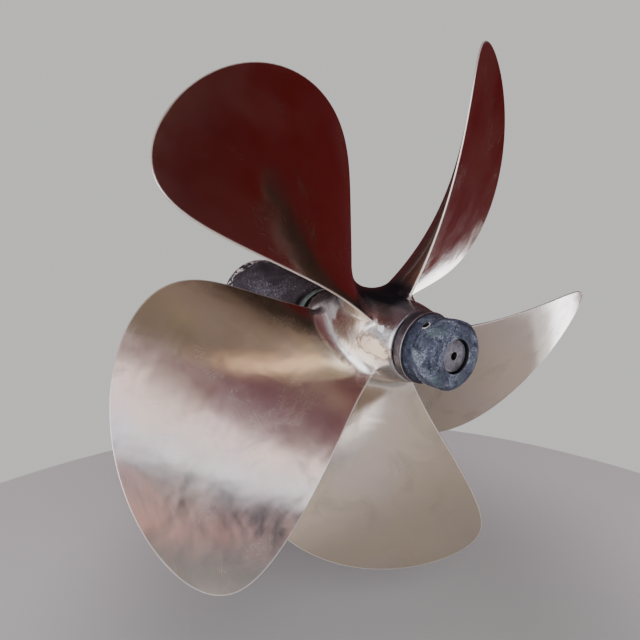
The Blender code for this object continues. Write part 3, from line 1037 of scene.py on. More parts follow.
def crowded(
    start: float, stop: float, count: int, centres: Sequence[float], reach: float, gain: float
) -> np.ndarray:
    """Values from start to stop that lie closer together round some centres.

    The density is 1 plus gain times a bell curve about each centre, and the values are its equal shares.

    Args:
        start: first value.
        stop: last value.
        count: how many.
        centres: where they crowd.
        reach: width of each bell.
        gain: how much denser they are there.

    Returns:
        The values.
    """
    fine = np.linspace(start, stop, 4000)
    away = (fine[:, None] - np.asarray(centres)[None, :]) / reach
    density = 1.0 + gain * np.exp(-(away**2)).sum(axis=1)
    total = np.concatenate([[0.0], np.cumsum(0.5 * (density[1:] + density[:-1]))])
    return np.interp(np.linspace(0.0, total[-1], count), total, fine)


def lumps(points: np.ndarray, size: float, seed: int, waves: int = 28) -> np.ndarray:
    """Smooth random unevenness: the mean of many plane waves of random direction.

    Args:
        points: places in metres.
        size: about the size of one lump.
        seed: picks the pattern.
        waves: how many waves are added.

    Returns:
        A value for each point, mostly between -1 and 1.
    """
    rng = np.random.default_rng(seed)
    direction = rng.normal(size=(waves, 3))
    direction /= np.linalg.norm(direction, axis=1)[:, None]
    wave = direction * (math.pi / size) * rng.uniform(0.6, 1.5, size=(waves, 1))
    phase = rng.uniform(0.0, TURN, size=waves)
    return np.sqrt(2.0 / waves) * np.cos(points @ wave.T + phase).sum(axis=-1)


# The shaft's line and what is turned about it


@dataclass
class ShaftLine:
    """The shaft's axis and the propeller's centre on it."""

    centre: np.ndarray

    def points(self, y: np.ndarray, radius: np.ndarray, angle: np.ndarray) -> np.ndarray:
        """Places in the part's frame, one for each element of the three arrays taken together."""
        y, radius, angle = np.broadcast_arrays(y, radius, angle)
        return self.centre + np.stack([radius * np.sin(angle), y, radius * np.cos(angle)], axis=-1)

    def turned(self, outline: np.ndarray, worn: np.ndarray, sides: int) -> Patch:
        """A solid of revolution: the outline carried round the axis.

        Args:
            outline: closed (y, radius) points.
            worn: a value at each, kept as the attribute "edge".
            sides: columns round the axis.

        Returns:
            The patch.
        """
        angle = np.linspace(0.0, TURN, sides, endpoint=False)[None, :]
        points = self.points(outline[:, :1], outline[:, 1:], angle)
        edge = np.broadcast_to(worn[:, None], points.shape[:2])
        return Patch(points, values={"edge": edge}, closed_rows=True)

    def stations(self, node: str) -> tuple[float, float, float]:
        """A turned solid's aft station, its forward station a hair inside, and its outer radius."""
        low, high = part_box(node)
        return low.y - self.centre[1], high.y - self.centre[1] - HAIR, 0.5 * (high.x - low.x)


# The propeller


@dataclass
class Section:
    """Where a cylinder about the shaft cuts the blade, for arrays of radii."""

    pitch: np.ndarray
    chord: np.ndarray
    skew: np.ndarray
    rake: np.ndarray
    thickness: np.ndarray


@dataclass
class Hub:
    """The hub's barrel: fullest near the middle, falling to each end by a power curve."""

    radius: float = 0.080
    widest_at: float = 0.015
    forward: float = 0.129
    forward_radius: float = 0.067
    aft: float = 0.124
    aft_radius: float = 0.0612
    fullness: float = 2.5
    chamfer: float = 0.0012
    bore_forward: float = 0.0403
    taper: float = 0.050

    def radius_at(self, y: np.ndarray) -> np.ndarray:
        """The outer radius at a station.

        Args:
            y: stations.

        Returns:
            Radii.
        """
        forward = np.clip((y - self.widest_at) / (self.forward - self.widest_at), 0.0, 1.0)
        aft = np.clip((self.widest_at - y) / (self.widest_at + self.aft), 0.0, 1.0)
        lost_forward = (self.radius - self.forward_radius) * forward**self.fullness
        lost_aft = (self.radius - self.aft_radius) * aft**self.fullness
        return self.radius - lost_forward - lost_aft

    def end_outline(self) -> tuple[np.ndarray, np.ndarray]:
        """The outline that closes the barrel: its forward end, the bore and its aft end.

        Returns:
            The (y, radius) points, and how worn each is.
        """
        top, bottom = self.forward - self.chamfer, -self.aft + self.chamfer
        bore_aft = self.bore_forward - self.taper * (self.forward + self.aft)
        y = np.linspace(self.forward, -self.aft, 14)
        bore = np.stack([y, np.linspace(self.bore_forward, bore_aft, 14)], axis=1)
        at_top, at_bottom = self.radius_at(np.array([top, bottom]))
        start = np.array([[top, at_top], [self.forward, self.forward_radius - self.chamfer]])
        end = np.array([[-self.aft, self.aft_radius - self.chamfer], [bottom, at_bottom]])
        worn = np.concatenate([np.ones(2), np.zeros(16)])
        return np.concatenate([start, bore, end]), worn


@dataclass
class Blades:
    """Five helical blades, each a stack of sections on cylinders about the shaft.

    The aft face is the plain helical surface. All the thickness lies forward of it.
    """

    count: int = 5
    first_angle: float = math.radians(-21.0)
    tip_radius: float = 0.4984
    root_radius: float = 0.080
    pitch: tuple[float, float, float] = (0.875, 1.275, 1.360)
    chord: tuple[float, float, float] = (0.188, 0.396, 0.478)
    chord_swell: float = 0.286
    tip_roundness: float = 6.2
    skew: tuple[float, float, float] = (-0.339, 0.446, -0.561)
    rake: tuple[float, float] = (-0.018, 0.031)
    root_thickness: float = 0.036
    tip_thickness: float = 0.007
    thickness_fall: float = 0.85
    edge: float = 0.0028
    fullness: float = 0.80
    tip_thinning: float = 24.0
    fillet: float = 0.0235
    end_fillet: float = 0.0075
    fillet_spread: float = 8.0
    face_points: int = 68
    edge_points: int = 12
    fillet_rows: int = 12
    blade_rows: int = 58
    bright_edge: float = 0.0006

    @staticmethod
    def three_point(x: np.ndarray, values: tuple[float, float, float]) -> np.ndarray:
        """The parabola through three values at x = 0, 0.5 and 1."""
        start, middle, end = values
        return start * (2 * x - 1) * (x - 1) + middle * 4 * x * (1 - x) + end * x * (2 * x - 1)

    @property
    def face_tip(self) -> float:
        """Radius where the faces end, half an edge short of the tip."""
        return self.tip_radius - 0.5 * self.edge

    def section(self, radius: np.ndarray) -> Section:
        """The section at each radius.

        Args:
            radius: distances from the shaft's axis.

        Returns:
            The section's values.
        """
        x = (radius - self.root_radius) / (self.face_tip - self.root_radius)
        held = np.clip(x, 0.0, 1.0)
        plain = self.three_point(x, self.chord) + self.chord_swell * x * (1 - x) * (2 * x - 1)
        chord = (plain - self.edge) * np.sqrt(1.0 - held**self.tip_roundness)
        skew = self.skew[0] * x + self.skew[1] * x**2 + self.skew[2] * x**4
        rake = self.rake[0] * x + self.rake[1] * x**2
        spare = (self.root_thickness - self.tip_thickness) * (1.0 - held) ** self.thickness_fall
        bulge = (self.tip_thickness + spare - self.edge) * np.sqrt(1.0 - held**self.tip_thinning)
        return Section(self.three_point(x, self.pitch), chord, skew, rake, self.edge + bulge)

    def outline(self) -> dict[str, np.ndarray]:
        """The places round a section: up the aft face, round the leading edge and back.

        Returns:
            along: place on the chord from -1 to 1; rise: share of the bulge; swing: how far an edge
            point stands out; across: its share of the edge's thickness.
        """
        face = -np.cos(np.linspace(0.0, math.pi, self.face_points))
        turn = np.linspace(-0.5 * math.pi, 0.5 * math.pi, self.edge_points + 2)[1:-1]
        zero, one = np.zeros(self.face_points), np.ones(self.edge_points)
        none = np.zeros(self.edge_points)
        out = np.cos(turn) ** 0.7
        up = 0.5 + 0.5 * np.sin(turn)
        return {
            "along": np.concatenate([face, one, face[::-1], -one])[None, :],
            "rise": np.concatenate([zero, none, zero + 1.0, none])[None, :],
            "swing": np.concatenate([zero, out, zero, -out])[None, :],
            "across": np.concatenate([zero, up, zero, up[::-1]])[None, :],
        }

    def edge_directions(self, radius: np.ndarray) -> tuple[np.ndarray, np.ndarray]:
        """Which way the blade's rim faces, seen square to the blade, at each row.

        The rim runs up the trailing edge, over the tip and down the leading edge. Its normal is its
        direction turned a quarter.

        Args:
            radius: the rows' radii, root to tip.

        Returns:
            For the trailing and the leading edge, the normal's (chordwise, radial) parts at each row.
        """
        section = self.section(radius)
        slope = np.arctan2(section.pitch, TURN * radius)
        shift = section.skew * radius / np.cos(slope)
        across = np.concatenate([shift - 0.5 * section.chord, (shift + 0.5 * section.chord)[-2::-1]])
        out = np.concatenate([radius, radius[-2::-1]])
        step_across, step_out = np.gradient(across), np.gradient(out)
        length = np.hypot(step_across, step_out)
        normal = np.stack([-step_out / length, step_across / length], axis=1)
        rows = len(radius)
        return normal[:rows], normal[rows - 1 :][::-1]

    def stack(self, hub: Hub) -> dict[str, np.ndarray]:
        """All the sections of one blade, from the fillet's foot on the hub out to the tip.

        The fillet is a quarter circle: at the turn s its height above the hub is size x (1 - sin s)
        and it stands size x (1 - cos s) out from the blade, square to the section's outline.

        Args:
            hub: the hub that the blade grows from.

        Returns:
            angle, y and radius of each point, the place along the chord, the height above the hub
            and the edge's brightness.
        """
        shape = self.outline()
        along, rise, swing, across = (shape[k] for k in ("along", "rise", "swing", "across"))
        inward = 1.0 - np.abs(along) ** self.fillet_spread
        size = self.end_fillet + (self.fillet - self.end_fillet) * inward
        turn = np.linspace(0.5 * math.pi, 0.0, self.fillet_rows)[:, None]
        first = hub.radius + self.fillet
        quarter = np.linspace(0.0, 0.5 * math.pi, self.blade_rows + 1)[1:, None]
        rows = first + (self.face_tip - first) * np.sin(quarter)
        share = np.clip((rows - first) / (0.30 * (self.face_tip - first)), 0.0, 1.0)
        follow = np.concatenate([np.ones_like(turn), 1.0 - share**2 * (3.0 - 2.0 * share)])
        above = rows - hub.radius + follow[len(turn) :] * (size - self.fillet)
        spare = np.concatenate([size * (1.0 - np.sin(turn)), above])
        out = np.concatenate([size * (1.0 - np.cos(turn)), np.zeros_like(rows) * size])
        planform = np.concatenate([hub.radius + self.fillet * (1.0 - np.sin(turn)), rows])[:, 0]
        trailing, leading = self.edge_directions(planform)
        normal = np.where(swing[..., None] >= 0.0, leading[:, None, :], trailing[:, None, :])
        reach_out = np.abs(swing) * 0.5 * self.edge
        y = np.zeros(spare.shape)
        for _ in range(8):
            radius = hub.radius + spare + follow * (hub.radius_at(y) - hub.radius)
            section = self.section(radius)
            slope = np.arctan2(section.pitch, TURN * radius)
            swell = (1.0 - along**2) ** self.fullness
            offset = rise * (self.edge + (section.thickness - self.edge) * swell) + across * self.edge
            reach = 0.5 * section.chord * along + reach_out * normal[..., 0]
            step_reach = np.roll(reach, -1, axis=1) - np.roll(reach, 1, axis=1)
            step_offset = np.roll(offset, -1, axis=1) - np.roll(offset, 1, axis=1)
            length = np.maximum(np.hypot(step_reach, step_offset), 1.0e-9)
            reach = reach + out * step_offset / length
            offset = offset - out * step_reach / length
            middle = section.rake + section.pitch * section.skew / TURN
            y = middle + reach * np.sin(slope) + offset * np.cos(slope)
        angle = section.skew + (reach * np.cos(slope) - offset * np.sin(slope)) / radius
        radius = radius + reach_out * normal[..., 1]
        rim = 0.5 * section.chord * (1.0 - np.abs(along))
        rim = np.minimum(rim, self.face_tip - planform[:, None])
        bright = np.exp(-np.maximum(rim, 0.0) / self.bright_edge)
        height = radius - hub.radius_at(y)
        return {"angle": angle, "y": y, "radius": radius, "reach": reach, "height": height, "edge": bright}


@dataclass
class Propeller:
    """The casting: the hub with its five blades, made as five equal sectors.

    Each sector runs from one valley between two blades to the next. It is cut along lines that twist
    round the hub with the pitch at the blade's root.
    """

    line: ShaftLine
    hub: Hub = field(default_factory=Hub)
    blades: Blades = field(default_factory=Blades)
    end_steps: int = 24
    floor_rows: int = 9

    def twist(self, y: np.ndarray) -> np.ndarray:
        """How far a valley's line has turned at each station."""
        return TURN * y / self.blades.pitch[0]

    def sector_middle(self) -> float:
        """The angle, at the centre plane, of the middle of the blade's thickness at its root."""
        slope = math.atan2(self.blades.pitch[0], TURN * self.hub.radius)
        return -0.5 * self.blades.root_thickness / (self.hub.radius * math.sin(slope))

    def border(self, count: int) -> tuple[np.ndarray, np.ndarray]:
        """The sector's border, in step with the points round a blade section.

        It is a rectangle in twisted coordinates: up the aft valley, along the forward end, down the
        forward valley and back along the aft end.

        Args:
            count: points round a section.

        Returns:
            Twisted angles and stations.
        """
        half = math.pi / self.blades.count
        side = count // 2 - self.end_steps
        low, high = -self.hub.aft + self.hub.chamfer, self.hub.forward - self.hub.chamfer
        up = np.linspace(low, high, side, endpoint=False)
        over = np.linspace(half, -half, self.end_steps, endpoint=False)
        down = np.linspace(high, low, side, endpoint=False)
        angle = np.concatenate([np.full(side, half), over, np.full(side, -half), -over])
        y = np.concatenate([up, np.full(self.end_steps, high), down, np.full(self.end_steps, low)])
        lead = (self.blades.face_points - side) // 2
        return np.roll(angle, lead) + self.sector_middle(), np.roll(y, lead)

    def sector(self, index: int) -> list[Patch]:
        """The patches of one sector.

        Args:
            index: which blade, from the first.

        Returns:
            The blade with the hub's surface round it, and the hub's ends with its bore.
        """
        start = self.blades.first_angle + TURN * index / self.blades.count
        blade = self.blades.stack(self.hub)
        foot_angle = blade["angle"][0] - self.twist(blade["y"][0])
        foot_y = blade["y"][0]
        border_angle, border_y = self.border(blade["y"].shape[1])
        share = np.linspace(1.0, 0.0, self.floor_rows, endpoint=False)[:, None]
        floor_y = foot_y + share * (border_y - foot_y)
        floor_turn = foot_angle + share * (border_angle - foot_angle) + self.twist(floor_y)
        floor = self.line.points(floor_y, self.hub.radius_at(floor_y), start + floor_turn)
        points = self.line.points(blade["y"], blade["radius"], start + blade["angle"])
        chart_shift = 3.0 * index
        blade_chart = np.stack([blade["reach"] + chart_shift, blade["radius"]], axis=-1)
        floor_chart = np.stack([floor_y + chart_shift, self.hub.radius * floor_turn], axis=-1)
        patches = [
            Patch(
                np.concatenate([floor, points]),
                np.concatenate([floor_chart, blade_chart]),
                {
                    "height": np.concatenate([np.zeros(floor_y.shape), blade["height"]]),
                    "edge": np.concatenate([np.zeros(floor_y.shape), blade["edge"]]),
                },
            )
        ]
        outline, worn = self.hub.end_outline()
        half = math.pi / self.blades.count
        across = np.linspace(-half, half, self.end_steps + 1)[None, :] + self.sector_middle()
        y = outline[:, :1]
        ends = self.line.points(y, outline[:, 1:], start + across + self.twist(y))
        steps = np.linalg.norm(np.diff(outline, axis=0), axis=1)
        run = np.concatenate([[0.0], np.cumsum(steps)])[:, None] + self.hub.forward
        chart = np.stack(np.broadcast_arrays(run + chart_shift, self.hub.radius * across), axis=-1)
        edge = np.broadcast_to(0.5 * worn[:, None], ends.shape[:2])
        patches.append(Patch(ends, chart, {"edge": edge}, closed_columns=False))
        return patches

    def build(self, finish: Material) -> None:
        """Makes the casting.

        Args:
            finish: its material.
        """
        patches = [patch for index in range(self.blades.count) for patch in self.sector(index)]
        mesh = mesh_from_patches("propeller_casting", patches, 38.0)
        add_piece(mesh, finish, Body.TURNING, ["propeller"])


# Nut, seals, anode and shaft end


@dataclass
class NutAndSeals:
    """The nut with its round collar and the two rubber rings at the hub's ends."""

    line: ShaftLine
    collar_length: float = 0.0155
    collar_rounding: float = 0.0013
    body_radius: float = 0.040
    bore: float = 0.0263
    forward_bore: float = 0.0403
    seal_rounding: float = 0.0008
    sides: int = 192

    def nut(self, finish: Material) -> None:
        """Makes the nut.

        Args:
            finish: its material.
        """
        aft, forward, radius = self.line.stations("propeller_nut")
        collar_end = forward - self.collar_length
        corners = [
            (forward, self.bore, 0.0),
            (forward, radius, self.collar_rounding),
            (collar_end, radius, self.collar_rounding),
            (collar_end, self.body_radius, 0.0),
            (aft, self.body_radius, 0.0),
            (aft, self.bore, 0.0),
        ]
        outline, worn = divided(*rounded(corners), 0.004)
        mesh = mesh_from_patches("nut_with_collar", [self.line.turned(outline, worn, self.sides)])
        add_piece(mesh, finish, Body.TURNING, ["propeller_nut"])

    def seal(self, name: str, node: str, bore: float, finish: Material) -> None:
        """Makes one rubber ring.

        Args:
            name: the piece's name.
            node: the solid it stands for.
            bore: inner radius.
            finish: its material.
        """
        aft, forward, radius = self.line.stations(node)
        corners = [
            (forward, bore, 0.0),
            (forward, radius, self.seal_rounding),
            (aft, radius, self.seal_rounding),
            (aft, bore, 0.0),
        ]
        outline, worn = rounded(corners)
        mesh = mesh_from_patches(name, [self.line.turned(outline, 0.0 * worn, self.sides)])
        add_piece(mesh, finish, Body.TURNING, [node])

    def build(self, bronze: Material, rubber: Material) -> None:
        """Makes the nut and both seals.

        Args:
            bronze: the nut's material.
            rubber: the seals' material.
        """
        self.nut(bronze)
        self.seal("hub_forward_seal", "forward_seal", self.forward_bore, rubber)
        self.seal("hub_aft_seal", "aft_seal", self.bore, rubber)


@dataclass
class Anode:
    """The zinc: a waisted sleeve with a round end, a round recess and three set screws."""

    line: ShaftLine
    rim_length: float = 0.013
    rim_rounding: float = 0.0015
    waist: float = 0.0045
    bulge: float = 0.0030
    waist_at: float = 0.025
    bulge_at: float = 0.046
    end_round: float = 0.007
    recess_radius: float = 0.0275
    recess_depth: float = 0.0112
    inside_radius: float = 0.0403
    screws: int = 3
    screw_at: float = 0.0225
    first_screw: float = math.radians(-31.0)
    hole_radius: float = 0.0056
    lip_width: float = 0.0034
    lip_height: float = 0.0011
    hole_depth: float = 0.0088
    snap: float = 0.0003
    crowding: float = 3.0
    crowd_length: float = 0.009
    crowd_angle: float = 0.20
    corrosion: float = 0.00050
    columns: int = 430
    rows: int = 96

    def outer(self, aft: float, forward: float, radius: float) -> np.ndarray:
        """The outer curve from the forward rim to the flat end.

        The rim falls to the waist and rises to the bulge in half cosine waves, and both ends are
        quarter circles.

        Args:
            aft: aft station.
            forward: forward station.
            radius: the rim's radius.

        Returns:
            (y, radius) points, evenly spaced but for a crowd at the screws.
        """
        stations = [forward, forward - self.rim_length, forward - self.waist_at, forward - self.bulge_at]
        levels = [radius, radius, radius - self.waist, radius - self.bulge]
        start, end = forward - self.rim_rounding, aft + self.end_round
        screw = [forward - self.screw_at]
        straight = crowded(start, end, self.rows, screw, self.crowd_length, self.crowding)
        place = np.interp(straight, stations[::-1], [3.0, 2.0, 1.0, 0.0])
        lower = np.clip(np.floor(place).astype(int), 0, 2)
        share = place - lower
        wave = 0.5 - 0.5 * np.cos(math.pi * share)
        level = np.array(levels[::-1])
        profile = level[lower] + wave * (level[lower + 1] - level[lower])
        opening = np.linspace(0.0, 0.5 * math.pi, 7)[:-1]
        start_y = forward - self.rim_rounding * (1.0 - np.cos(opening))
        start_r = radius - self.rim_rounding * (1.0 - np.sin(opening))
        turn = np.linspace(0.0, 0.5 * math.pi, 12)[1:]
        round_y = aft + self.end_round * (1.0 - np.sin(turn))
        round_r = radius - self.bulge - self.end_round * (1.0 - np.cos(turn))
        y = np.concatenate([start_y, straight, round_y])
        return np.stack([y, np.concatenate([start_r, profile, round_r])], axis=1)

    def inner(self, aft: float, forward: float, radius: float) -> tuple[np.ndarray, np.ndarray, np.ndarray]:
        """The end face, the recess and the bore that holds the nut.

        Args:
            aft: aft station.
            forward: forward station.
            radius: where the end face starts.

        Returns:
            (y, radius) points, how worn each is, and how dark each is drawn as painted shade.
        """
        floor = aft + self.recess_depth
        corners = [
            (aft, radius, 0.0),
            (aft, self.recess_radius, 0.0012),
            (floor, self.recess_radius, 0.0),
            (floor, self.inside_radius, 0.0),
            (forward, self.inside_radius, 0.0),
        ]
        points, worn = rounded(corners)
        spaced, worn = divided(points, worn, 0.0014)
        last = np.argmax(np.isclose(spaced, corners[-1][:2]).all(axis=1))
        points, worn = spaced[1 : last + 1], worn[1 : last + 1]
        # Painted shade: darker deeper into the recess and the bore.
        grime = np.clip((points[:, 0] - aft - 0.0006) / 0.0022, 0.0, 1.0)
        return points, worn, grime

    def screw_angles(self) -> np.ndarray:
        """Where the screws sit round the shaft."""
        return self.first_screw + TURN * np.arange(self.screws) / self.screws

    def build(self, finish: Material) -> None:
        """Makes the zinc: the outline turned, corroded and sunk at each screw inside a raised lip.

        Near a screw the grid's points snap to the hole's circle, so the hole's wall is neat.

        Args:
            finish: its material.
        """
        aft, forward, rim = self.line.stations("anode")
        outer = self.outer(aft, forward, rim)
        inner, worn, grime = self.inner(aft, forward, outer[-1, 1])
        centres = self.screw_angles()
        start = self.first_screw - math.pi / self.screws
        angle = crowded(start, start + TURN, self.columns + 1, centres, self.crowd_angle, self.crowding)
        angle = angle[None, :-1]
        y, radius, turned = (a.copy() for a in np.broadcast_arrays(outer[:, :1], outer[:, 1:], angle))
        hole_y = forward - self.screw_at
        sunk = np.zeros(y.shape, bool)
        lip, shade = np.zeros(y.shape), np.zeros(y.shape)
        for centre in centres:
            across, along = (turned - centre) * radius, y - hole_y
            away = np.hypot(across, along)
            snap = np.abs(away - self.hole_radius) < self.snap
            factor = np.where(snap, self.hole_radius / np.maximum(away, 1e-9), 1.0)
            turned = np.where(snap, centre + across * factor / radius, turned)
            y = np.where(snap, hole_y + along * factor, y)
            sunk |= away < self.hole_radius - self.snap
            ring = (away - self.hole_radius) / self.lip_width
            raised = (ring > -0.2) & (ring < 1.0)
            lip = np.maximum(lip, np.where(raised, np.cos(0.5 * math.pi * ring) ** 2, 0.0))
            # Painted shade: each hole's wall is drawn black.
            shade = np.maximum(shade, away < self.hole_radius + self.snap)
        bright = np.clip((lip - 0.30) / 0.30, 0.0, 1.0)
        band = np.clip((y - forward + self.rim_length) / 0.004, 0.0, 1.0) * (lip < 0.05)
        points = self.line.points(y, radius, turned)
        uneven = self.corrosion * (lumps(points, 0.012, 5) + 0.6 * lumps(points, 0.004, 6))
        fade = np.clip((forward - y) / 0.003, 0.0, 1.0) * np.clip((y - aft) / 0.003, 0.0, 1.0)
        uneven = (uneven - self.corrosion) * fade
        radius = np.minimum(radius + uneven + self.lip_height * lip * (~sunk), rim)
        radius = np.where(sunk, radius - self.hole_depth, radius)
        within = self.line.points(inner[:, :1], inner[:, 1:], angle)
        patch = Patch(
            np.concatenate([self.line.points(y, radius, turned), within]),
            values={
                "edge": np.concatenate([np.where(sunk, 0.0, bright), 0.08 * worn[:, None] + 0.0 * angle]),
                "grime": np.concatenate([shade, grime[:, None] + 0.0 * angle]),
                "band": np.concatenate([band, 0.0 * inner[:, :1] + 0.0 * angle]),
            },
            closed_rows=True,
        )
        mesh = mesh_from_patches("zinc_anode", [patch], 50.0)
        add_piece(mesh, finish, Body.TURNING, ["anode"])


@dataclass
class ShaftEnd:
    """The shaft: full size in the bearing, tapered in the hub, with a centre hole in its end."""

    line: ShaftLine
    thread_radius: float = 0.026
    end_rounding: float = 0.0028
    hole_radius: float = 0.0067
    hole_depth: float = 0.013
    hub: Hub = field(default_factory=Hub)
    sides: int = 160

    def build(self, finish: Material) -> None:
        """Makes the shaft.

        Args:
            finish: its material.
        """
        aft, forward, radius = self.line.stations("propeller_shaft")
        small = radius - self.hub.taper * (self.hub.forward + self.hub.aft)
        corners = [
            (forward, 0.0, 0.0),
            (forward, radius, 0.001),
            (self.hub.forward, radius, 0.0),
            (-self.hub.aft, small, 0.0),
            (-self.hub.aft, self.thread_radius, 0.0),
            (aft, self.thread_radius, self.end_rounding),
            (aft, self.hole_radius, 0.0006),
            (aft + 0.0015, self.hole_radius - 0.0004, 0.0),
            (aft + 0.5 * self.hole_depth, 0.45 * self.hole_radius, 0.0),
            (aft + self.hole_depth, 0.0, 0.0),
        ]
        outline, worn = rounded(corners)
        outline, worn = divided(outline[:-1], worn[:-1], 0.02)
        outline = np.concatenate([outline, [[aft + self.hole_depth, 0.0]]])
        worn = np.concatenate([worn, [0.0]])
        patch = self.line.turned(outline, worn, self.sides)
        # Painted shade: the centre hole is drawn black.
        inside = outline[:, 1:] < self.hole_radius - 0.0001
        patch.values["grime"] = np.broadcast_to(1.0 * inside, patch.points.shape[:2])
        mesh = mesh_from_patches("shaft_end", [patch])
        add_piece(mesh, finish, Body.TURNING, ["propeller_shaft"])


@dataclass(frozen=True)
class SocketScrew:
    """A screw whose head has a rounded top and a six-sided socket."""

    head_radius: float
    height: float
    socket_radius: float
    socket_depth: float
    rounding: float = 0.0006
    columns: int = 48

    def patch(self, seat: np.ndarray, up: np.ndarray) -> Patch:
        """The screw as an outline carried round its own axis.

        The socket's outline is a hexagon: its radius at an angle is the flat's distance over the
        cosine of the angle from the middle of the flat.

        Args:
            seat: the middle of the head's underside.
            up: the way it points.

        Returns:
            The patch.
        """
        angle = np.linspace(0.0, TURN, self.columns, endpoint=False)[None, :]
        from_flat = (angle + math.pi / 6.0) % (math.pi / 3.0) - math.pi / 6.0
        hexagon = self.socket_radius * math.cos(math.pi / 6.0) / np.cos(from_flat)
        turn = np.linspace(0.0, 0.5 * math.pi, 5)[:, None]
        side = self.head_radius - self.rounding * (1.0 - np.cos(turn)) + 0.0 * angle
        top = self.height - self.rounding * (1.0 - np.sin(turn)) + 0.0 * angle
        rows = [(0.0 * angle, 0.0), (self.head_radius + 0.0 * angle, 0.0)]
        socket = [1.15 * hexagon, hexagon, 0.97 * hexagon, 0.0 * angle]
        radius = np.concatenate([r for r, _ in rows] + [side] + socket)
        flat = [0.0 * angle, 0.0 * angle]
        floor = self.height - self.socket_depth
        levels = [self.height, self.height - 0.0002, floor, floor - 0.3 * self.socket_depth]
        height = np.concatenate(flat + [top] + [level + 0.0 * angle for level in levels])
        across = np.cross(up, np.array([0.31, 0.57, 0.76]))
        across /= np.linalg.norm(across)
        beside = np.cross(up, across)
        points = seat + height[..., None] * up + radius[..., None] * (
            np.cos(angle)[..., None] * across + np.sin(angle)[..., None] * beside
        )
        edge = np.zeros(radius.shape)
        edge[2:8] = 0.5
        return Patch(points, values={"edge": edge})


# The stern boss with its bearing and ring


@dataclass
class SternBoss:
    """The painted cone with its bearing, gasket, retaining ring and screws."""

    line: ShaftLine
    end_radius: float = 0.068
    end_rounding: float = 0.006
    face_chamfer: float = 0.0015
    shell_radius: float = 0.0510
    shell_bore: float = 0.0465
    lining_bore: float = 0.0406
    flutes: int = 10
    flute_depth: float = 0.003
    ring_bore: float = 0.044
    ring_rounding: float = 0.0018
    gasket_rounding: float = 0.003
    boss_gap: float = 0.0003
    sides: int = 224
    unevenness: float = 0.0005

    def cone(self, finish: Material) -> None:
        """Makes the boss, its painted outside a little uneven.

        Args:
            finish: its material.
        """
        aft, forward, radius = self.line.stations("stern_boss")
        bore = self.shell_radius + self.boss_gap
        corners = [
            (forward, bore, 0.0),
            (forward, radius, self.face_chamfer),
            (aft, self.end_radius, self.end_rounding),
            (aft, bore, 0.001),
        ]
        outline, worn = divided(*rounded(corners, 8), 0.004)
        patch = self.line.turned(outline, worn, self.sides)
        axis = self.line.centre * np.array([1.0, 0.0, 1.0]) + patch.points * np.array([0.0, 1.0, 0.0])
        away = patch.points - axis
        distance = np.linalg.norm(away, axis=-1, keepdims=True)
        outside = np.clip((distance[..., 0] - 0.056) / 0.008, 0.0, 1.0)
        outside *= np.clip((forward + self.line.centre[1] - patch.points[..., 1]) / 0.004, 0.0, 1.0)
        depth = self.unevenness * (0.5 + 0.5 * np.clip(lumps(patch.points, 0.03, 11), -1.0, 1.0)) * outside
        patch.points = patch.points - away / distance * depth[..., None]
        mesh = mesh_from_patches("painted_boss", [patch], 45.0)
        add_piece(mesh, finish, Body.FIXED, ["stern_boss"])

    def tube(self, finish: Material) -> None:
        """Makes the bearing's bronze tube.

        Args:
            finish: its material.
        """
        aft, forward, radius = self.line.stations("bearing_shell")
        corners = [
            (forward, self.shell_bore, 0.0005),
            (forward, radius, 0.0005),
            (aft, radius, 0.0005),
            (aft, self.shell_bore, 0.0005),
        ]
        outline, worn = divided(*rounded(corners, 4), 0.03)
        mesh = mesh_from_patches("bearing_tube", [self.line.turned(outline, worn, self.sides)])
        add_piece(mesh, finish, Body.FIXED, ["bearing_shell"])

    def lining(self, finish: Material) -> None:
        """Makes the bearing's fluted rubber lining.

        Its bore is round but for the flutes: their depth follows the square root of the cosine of
        the angle, where that is positive.

        Args:
            finish: its material.
        """
        aft, forward, radius = self.line.stations("bearing_lining")
        angle = np.linspace(0.0, TURN, 12 * self.flutes * 2, endpoint=False)[None, :]
        flute = self.flute_depth * np.maximum(0.0, np.cos(self.flutes * angle)) ** 0.5
        outer, bore = radius + 0.0 * angle, self.lining_bore + flute
        y = np.array([[forward], [aft], [aft], [aft + 0.001], [forward - 0.001], [forward]]) + 0.0 * angle
        radii = np.concatenate([outer, outer, bore + 0.001, bore, bore, bore + 0.001])
        patch = Patch(self.line.points(y, radii, angle), closed_rows=True)
        mesh = mesh_from_patches("fluted_lining", [patch], 45.0)
        add_piece(mesh, finish, Body.FIXED, ["bearing_lining"])

    def ring_and_gasket(self, green: Material, rubber: Material) -> None:
        """Makes the patinated retaining ring and the black gasket behind it.

        Args:
            green: the ring's material.
            rubber: the gasket's material.
        """
        kinds = (
            ("boss_seal_ring", "boss_gasket", self.gasket_rounding, rubber, Slot.RUBBER),
            ("green_ring", "retaining_ring", self.ring_rounding, green, Slot.PATINATED),
        )
        for name, node, rounding, finish, slot in kinds:
            aft, forward, radius = self.line.stations(node)
            corners = [
                (forward, self.ring_bore, 0.0),
                (forward, radius, rounding),
                (aft, radius, rounding),
                (aft, self.ring_bore, 0.0008),
            ]
            outline, worn = divided(*rounded(corners), 0.002)
            patch = self.line.turned(outline, worn, self.sides)
            # Painted shade: black over the faces, clear only at the outer corner.
            unshaded = np.clip((outline[:, 1:] - radius + rounding + 0.0006) / 0.0008, 0.0, 1.0)
            patch.values["grime"] = np.broadcast_to(1.0 - unshaded, patch.points.shape[:2])
            add_piece(mesh_from_patches(name, [patch]), finish, Body.FIXED, [node])

    def build(self, made: dict[Slot, Material]) -> None:
        """Makes all the fixed pieces but the screws.

        Args:
            made: the materials by slot.
        """
        self.cone(made[Slot.PAINT])
        self.tube(made[Slot.BEARING])
        self.lining(made[Slot.RUBBER])
        self.ring_and_gasket(made[Slot.PATINATED], made[Slot.RUBBER])


